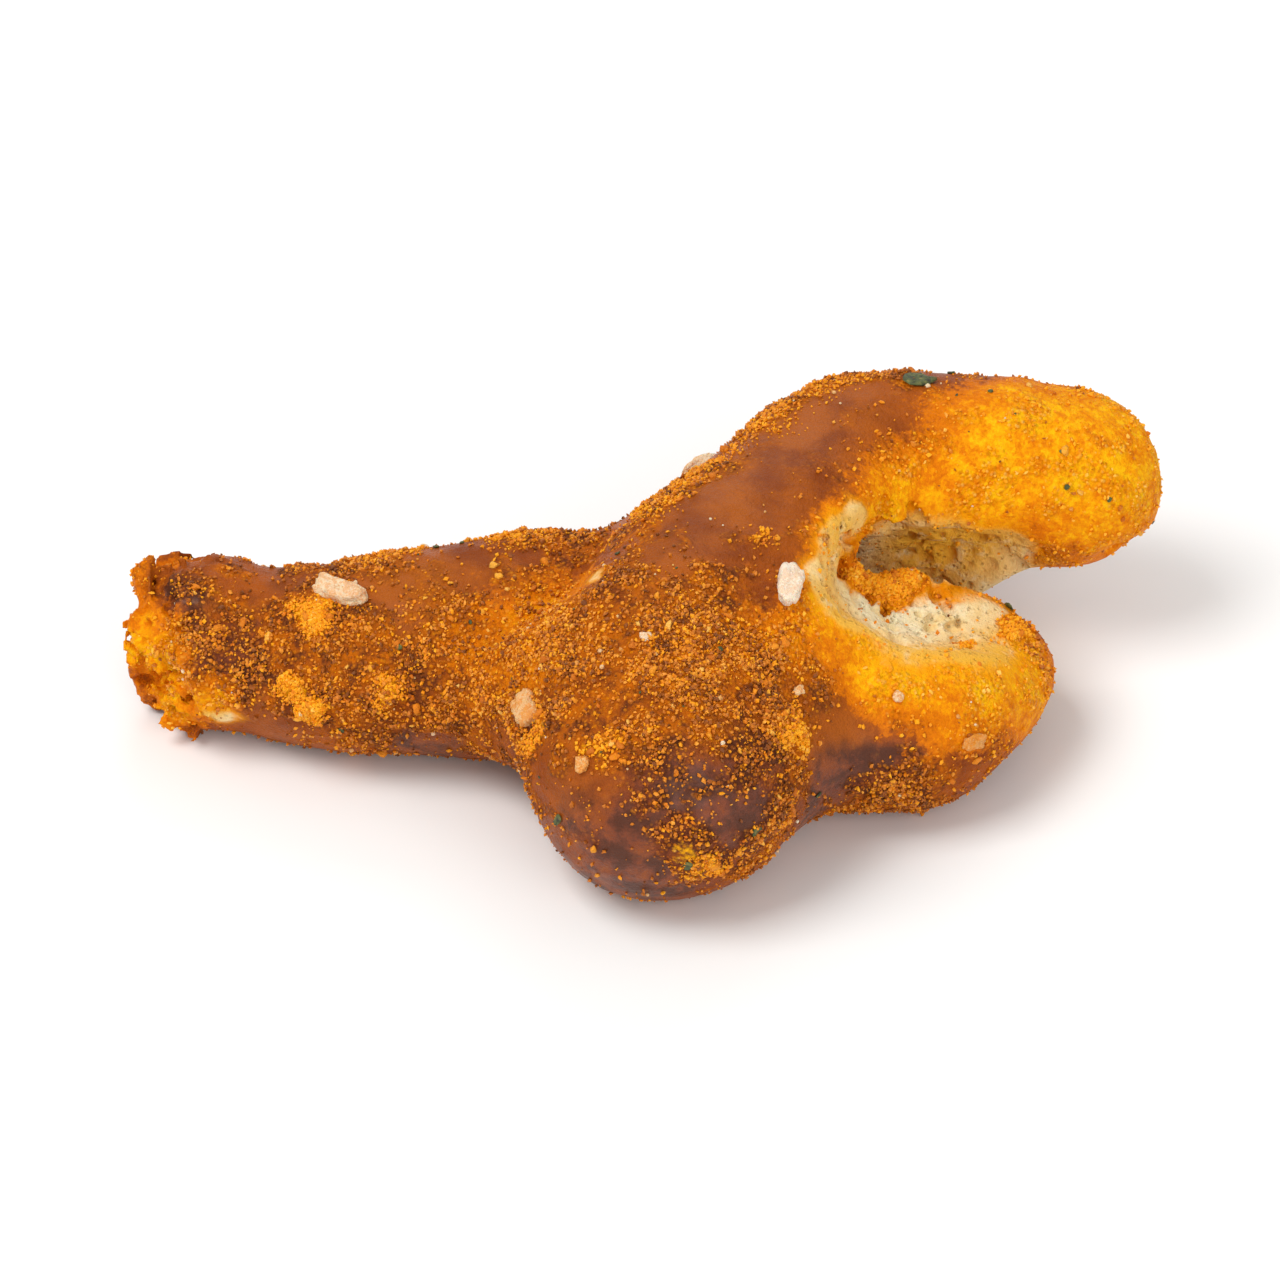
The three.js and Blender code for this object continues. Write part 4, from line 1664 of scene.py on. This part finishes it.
@dataclass(frozen=True)
class DoughFinish:
    """Satin chestnut crust, golden matte crust round the breaks and cream crumb inside; the crumb has
    painted shade in its pits and in the hollow.
    """

    chestnut: Tone = Tone(128, 57, 13)
    russet: Tone = Tone(164, 80, 15)
    tan: Tone = Tone(166, 86, 18)
    umber: Tone = Tone(86, 44, 26)
    plum: Tone = Tone(120, 60, 36)
    amber: Tone = Tone(200, 103, 0)
    orange: Tone = Tone(220, 119, 0)
    golden: Tone = Tone(238, 153, 0)
    honey: Tone = Tone(246, 181, 6)
    seasoned: Tone = Tone(255, 178, 4)
    # Straw: golden crumb near the crust, and painted shade on the crumb of the hollow under the upper lobe.
    straw: Tone = Tone(248, 184, 54)
    cream: Tone = Tone(255, 240, 198)
    cream_deep: Tone = Tone(250, 218, 150)
    # Taupe of the fibre streaks in the crumb, also painted shade at the bottoms of its pits.
    taupe_and_pit_shade: Tone = Tone(222, 176, 102)
    grit_dark: Tone = Tone(122, 62, 16)
    grit_brown: Tone = Tone(182, 96, 16)
    grit_orange: Tone = Tone(234, 142, 8)
    grit_pale: Tone = Tone(244, 190, 92)
    specular: float = 0.07

    def crust_colour(self, w: Wiring, gritty: Signal) -> bpy.types.NodeSocket:
        """Brown crust that turns amber and golden towards the breaks.

        Args:
            w: The material's wiring.
            gritty: How much seasoning lies there, from 0 to 1.

        Returns:
            A colour socket.
        """
        cloud = w.noise(3.4, 4, 0.6, 0.4)
        mottle = w.noise(0.75, 4, 0.65, 0.3, 6.0)
        bare = w.stored("bare")
        brown = w.mix(cloud.ease(0.35, 0.62), self.chestnut, self.russet)
        blotch = w.noise(1.5, 5, 0.62, 0.4, 21.0)
        brown = w.mix(gritty * blotch.ease(0.52, 0.38) * 0.8, brown, self.umber)
        brown = w.mix(gritty * (0.5 * mottle + 0.5 * blotch).ease(0.44, 0.6) * 0.85, brown, self.amber)
        brown = w.mix(bare * 0.7 * cloud.ease(0.2, 0.6), brown, self.tan)
        patchy = w.noise(1.6, 5, 0.65)
        dark = w.stored("scorch") * (0.5 + 0.9 * patchy.ease(0.3, 0.7))
        brown = w.mix(dark.ease(0.1, 0.8), brown, w.mix(patchy.ease(0.4, 0.6), self.plum, self.umber))
        gold = w.stored("gold").either(w.stored("rim") * 0.55)
        speckle = w.noise(0.32, 3, 0.7, 0.0, 12.0)
        level = 0.86 * gold + 0.8 * (w.noise(1.9, 5, 0.62, 0.3, 3.0) - 0.5) + 0.6 * (mottle - 0.5)
        level = level + 0.5 * (speckle - 0.5) + 0.24 * (w.cells(0.20, "Color") - 0.5)
        ripe = w.ramp(level, ((0.15, self.russet), (0.42, self.amber), (0.64, self.orange),
                              (0.84, self.golden), (1.0, self.honey)))
        return w.mix(level.ease(0.2, 0.48), brown, ripe)

    def grit_colour(self, w: Wiring) -> bpy.types.NodeSocket:
        """Fine seasoning stuck to the crust: a colour for each grain.

        Args:
            w: The material's wiring.

        Returns:
            A colour socket.
        """
        stops = (
            (0.0, self.grit_dark), (0.35, self.grit_brown), (0.7, self.grit_orange), (1.0, self.grit_pale),
        )
        level = w.cells(0.24, "Color") * 0.75 + 0.35 * w.stored("gold") + 0.5 * w.stored("clump")
        return w.ramp(level, stops)

    def make(self) -> bpy.types.Material:
        """Wires up the finish of the dough.

        Returns:
            The material.
        """
        w = Wiring("baked_dough")
        dust, bare, gold, clump = (w.stored(name) for name in ("dust", "bare", "gold", "clump"))
        inner = w.stored("crumb") + 0.55 * (w.noise(0.9, 4, 0.65, 0.3) - 0.5) - 1.2 * clump
        crumb = inner.ease(0.30, 0.68)
        halo = inner.ease(0.05, 0.45)
        grains = 1 - w.cells(0.24)
        thick = w.stored("thick") + 0.5 * (w.noise(0.5, 4, 0.65, 0.2, 9.0) - 0.5)
        scorch = w.stored("scorch")
        gritty = (dust + 0.26 - 0.45 * bare - 0.12 * scorch + 0.8 * (thick - 0.5) + clump).ease(0.1, 0.7)
        crust = w.mix(halo * 0.8, self.crust_colour(w, gritty), self.golden)
        stuck = gritty * 0.65 * (1 - 0.55 * halo) * grains.ease(0.45, 0.8)
        crust = w.mix(stuck, crust, self.grit_colour(w))
        clumped = (clump + 0.9 * (w.noise(0.45, 4, 0.65, 0.3, 33.0) - 0.5)).ease(0.36, 0.62)
        crust = w.mix(clumped * (0.6 + 0.4 * grains), crust, self.seasoned)
        pores = w.cells(0.34, shift=4.0)
        streaks = w.noise(0.5, 4, 0.65, 0.2, 5.0, (1.0, 1.0, 0.3))
        inside = w.mix(w.noise(1.7, 4, 0.6, 0.3, 5.0).ease(0.4, 0.75), self.cream, self.cream_deep)
        # Partly real golden crumb near the crust, partly painted shade: the gold patches in the hollow
        # under the upper lobe turn its crumb straw.
        inside = w.mix(gold * w.noise(1.1, 4, 0.6, 0.3, 15.0).ease(0.15, 0.5), inside, self.straw)
        # Painted shade: the crumb turns towards taupe at the pore cells' middles, the bottoms of the pits
        # that the bump digs.
        inside = w.mix((1 - pores.ease(0.08, 0.35)) * 0.18, inside, self.taupe_and_pit_shade)
        inside = w.mix(streaks.ease(0.5, 0.75) * 0.28, inside, self.taupe_and_pit_shade)
        colour = w.mix(crumb, crust, inside)
        fine = w.noise(0.15, 3, 0.6)
        crust_height = 0.55 * gritty * grains + 0.30 * fine + 0.30 * w.noise(0.4, 3, 0.6, 0.5)
        crumb_height = pores.ease(0.0, 0.4) * 0.5 + 0.6 * w.noise(0.22, 4, 0.7)
        height = crust_height + crumb * (crumb_height - crust_height)
        matt = gritty.either(gold).either(crumb)
        roughness = 0.36 + 0.26 * matt + 0.2 * crumb + 0.14 * (fine - 0.5)
        return w.shade({
            "Base Color": colour, "Roughness": roughness, "Normal": w.bump(height, 0.34),
            "Coat Weight": (1 - matt) * (0.12 * bare + 0.30 * scorch), "Coat Roughness": 0.30,
            "Subsurface Weight": 0.06, "Subsurface Radius": (0.9, 0.5, 0.25), "Subsurface Scale": 0.7 * MM,
            "Specular IOR Level": self.specular,
        })


@dataclass(frozen=True)
class GrainFinish:
    """Grains of one kind, each with its own tone from a ramp."""

    name: str
    stops: tuple[tuple[float, Tone], ...]
    roughness: float
    bump: float = 0.05
    see_in: float = 0.10
    ripening: float = 0.0
    mottling: float = 0.0
    dusting: float = 0.0
    dust: Tone = Tone(226, 138, 34)

    def make(self) -> bpy.types.Material:
        """Wires up the finish of the grains.

        Returns:
            The material.
        """
        w = Wiring(self.name)
        grain = w.noise(0.12, 3, 0.6)
        tint = w.stored("tint")
        level = tint + 0.3 * (grain - 0.5)
        if self.mottling:
            level = level + self.mottling * (w.noise(1.5, 5, 0.62, 0.4, 21.0) - 0.5)
        if self.ripening:
            level = (level + self.ripening * w.stored("ripe")) * (1 / (1 + self.ripening))
        colour = w.ramp(level, self.stops)
        if self.dusting:
            dusty = w.noise(0.6, 4, 0.65, 0.2, 8.0) + 0.7 * (w.noise(0.14, 2, 0.6) - 0.5)
            share = dusty.ease(0.42, 0.58) * self.dusting * (1.35 - tint)
            colour = w.mix(share, colour, self.dust)
        return w.shade({
            "Base Color": colour, "Roughness": self.roughness + 0.2 * (grain - 0.5),
            "Normal": w.bump(grain + 0.6 * w.noise(0.4, 3, 0.6), self.bump),
            "Subsurface Weight": self.see_in, "Subsurface Radius": (0.8, 0.6, 0.4),
            "Subsurface Scale": 0.3 * MM, "Specular IOR Level": 0.3,
        })


@dataclass(frozen=True)
class HerbFinish:
    """Dried leaf: dark green to black with a dull sheen."""

    green: Tone = Tone(78, 86, 36)
    black: Tone = Tone(30, 26, 14)
    straw: Tone = Tone(142, 122, 58)

    def make(self) -> bpy.types.Material:
        """Wires up the finish of the flecks.

        Returns:
            The material.
        """
        w = Wiring("dried_herb")
        cloud = w.noise(0.35, 4, 0.65)
        stops = ((0.35, self.black), (0.55, self.green), (0.75, self.straw))
        inputs = {"Base Color": w.ramp(cloud, stops), "Roughness": 0.5 + 0.2 * cloud}
        return w.shade({**inputs, "Normal": w.bump(w.noise(0.12, 3, 0.6), 0.05)})


# ---------------------------------------------------------------- studio


@dataclass(frozen=True)
class Lamp:
    """A soft square lamp: where it hangs, its side and its power, in metres and watts."""

    name: str
    at: Point
    side: float
    power: float


@dataclass
class Studio:
    """Pale floor, soft light and a camera at the photograph's angle."""

    elevation: float = 38.0
    distance: float = 0.45
    aim: Point = (-0.00034, 0.00851, 0.0)
    view_width: float = 0.0672
    sensor: float = 36.0
    floor_side: float = 1.2
    floor_tone: Tone = Tone(243, 242, 240)
    floor_shade: Tone = Tone(225, 224, 222)
    sky: float = 0.56
    lamps: tuple[Lamp, ...] = (
        Lamp("key_lamp", (-0.20, -0.08, 0.36), 0.22, 1.08),
        Lamp("fill_lamp", (0.16, -0.32, 0.18), 0.30, 0.60),
        Lamp("back_lamp", (0.05, 0.34, 0.26), 0.24, 0.36),
    )

    def camera(self) -> None:
        """Puts up the camera."""
        tilt = math.radians(self.elevation)
        back = Vector((0, -math.cos(tilt), math.sin(tilt)))
        lens = bpy.data.cameras.new("camera")
        lens.sensor_width = self.sensor
        lens.lens = self.sensor * self.distance / self.view_width
        lens.clip_start = 0.01
        made = bpy.data.objects.new("camera", lens)
        made.location = Vector(self.aim) + back * self.distance
        made.rotation_euler = (-back).to_track_quat("-Z", "Y").to_euler()
        bpy.context.scene.collection.objects.link(made)
        bpy.context.scene.camera = made

    def floor(self) -> None:
        """Lays the floor under the sole."""
        half = self.floor_side / 2 / MM
        corners = np.array([(-half, -half, 0), (half, -half, 0), (half, half, 0), (-half, half, 0)], float)
        made = mesh_of("floor", corners, np.array([[0, 1, 2, 3]]))
        w = Wiring("pale_floor")
        tone = w.mix(w.noise(40, 3) * 0.02, self.floor_tone, self.floor_shade)
        made.data.materials.append(w.shade({"Base Color": tone, "Roughness": 0.7}))

    def light(self) -> None:
        """Hangs the lamps and lights the surroundings."""
        for lamp in self.lamps:
            data = bpy.data.lights.new(lamp.name, "AREA")
            data.size, data.energy = lamp.side, lamp.power
            made = bpy.data.objects.new(lamp.name, data)
            made.location = lamp.at
            made.rotation_euler = (-Vector(lamp.at)).to_track_quat("-Z", "Y").to_euler()
            bpy.context.scene.collection.objects.link(made)
        world = bpy.data.worlds.new("surroundings")
        world.use_nodes = True
        world.node_tree.nodes["Background"].inputs["Color"].default_value = (1, 1, 1, 1)
        world.node_tree.nodes["Background"].inputs["Strength"].default_value = self.sky
        bpy.context.scene.world = world
        bpy.context.scene.view_settings.view_transform = "Standard"

    def build(self) -> None:
        """Sets up the whole studio."""
        self.camera()
        self.floor()
        self.light()


# ---------------------------------------------------------------- putting it together

BROWN_GRAINS = GrainFinish("brown_seasoning", (
    (0.0, Tone(118, 62, 18)),
    (0.25, Tone(160, 84, 16)),
    (0.55, Tone(204, 116, 18)),
    (0.8, Tone(228, 144, 38)),
    (1.0, Tone(238, 164, 58)),
), roughness=0.5, ripening=0.3, mottling=2.2)
ORANGE_GRAINS = GrainFinish("orange_seasoning", (
    (0.0, Tone(206, 108, 4)),
    (0.3, Tone(232, 138, 2)),
    (0.6, Tone(246, 162, 4)),
    (0.85, Tone(246, 172, 20)),
    (1.0, Tone(248, 190, 80)),
), roughness=0.55, ripening=0.65, mottling=1.2)
GOLDEN_CRUMBS = GrainFinish("golden_crumbs", (
    (0.0, Tone(190, 98, 10)),
    (0.45, Tone(224, 128, 10)),
    (0.85, Tone(240, 164, 40)),
    (1.0, Tone(242, 186, 92)),
), roughness=0.65, bump=0.10)
BAKED_SALT = GrainFinish("baked_salt", (
    (0.0, Tone(204, 120, 44)),
    (0.35, Tone(230, 168, 92)),
    (0.75, Tone(240, 208, 166)),
    (1.0, Tone(246, 230, 206)),
), roughness=0.55, bump=0.16, see_in=0.4, dusting=0.85)

BROWN_SCATTER = Scatter(
    "brown_seasoning", "seasoning", 16_000, (0.055, 0.150),
    Likes(0.045, dust=1.0, gold=-0.04, clump=-1.2, off_crumb=1.0), 41,
)
ORANGE_SCATTER = Scatter(
    "orange_seasoning", "seasoning", 17_500, (0.05, 0.145),
    Likes(0.07, dust=0.5, gold=0.12, clump=8.0, off_bare=0.85, off_crumb=0.8), 43,
)
CRUMB_SCATTER = Scatter(
    "golden_crumbs", "seasoning", 560, (0.10, 0.24), Likes(0.03, dust=0.8, gold=0.05, clump=3.5), 45,
    smooth=True, flatness=0.7, sink=0.7, lean=0.8, bumpiness=0.5,
)
SCATTERS: tuple[tuple[Scatter, GrainFinish], ...] = (
    (BROWN_SCATTER, BROWN_GRAINS), (ORANGE_SCATTER, ORANGE_GRAINS), (CRUMB_SCATTER, GOLDEN_CRUMBS),
)


def dress(piece: bpy.types.Object, finish: bpy.types.Material) -> None:
    """Gives a piece its only finish and reports it.

    Args:
        piece: The piece.
        finish: Its material.
    """
    piece.data.materials.clear()
    piece.data.materials.append(finish)
    LOG.info("%s: %d triangles", piece.name, len(triangles_of(piece.data)))


def main() -> None:
    """Builds every piece in order, then the studio."""
    logging.basicConfig(level=logging.INFO, format="%(name)s %(message)s")
    body = DoughBody().build(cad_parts[NODE])
    dress(body, DoughFinish().make())
    ground = Ground.of(body)
    for scatter, finish in SCATTERS:
        dress(scatter.build(ground), finish.make())
    dress(Salt().build(ground), BAKED_SALT.make())
    dress(HerbFlecks().build(ground), HerbFinish().make())
    Studio().build()


if __name__ == "__main__":
    main()
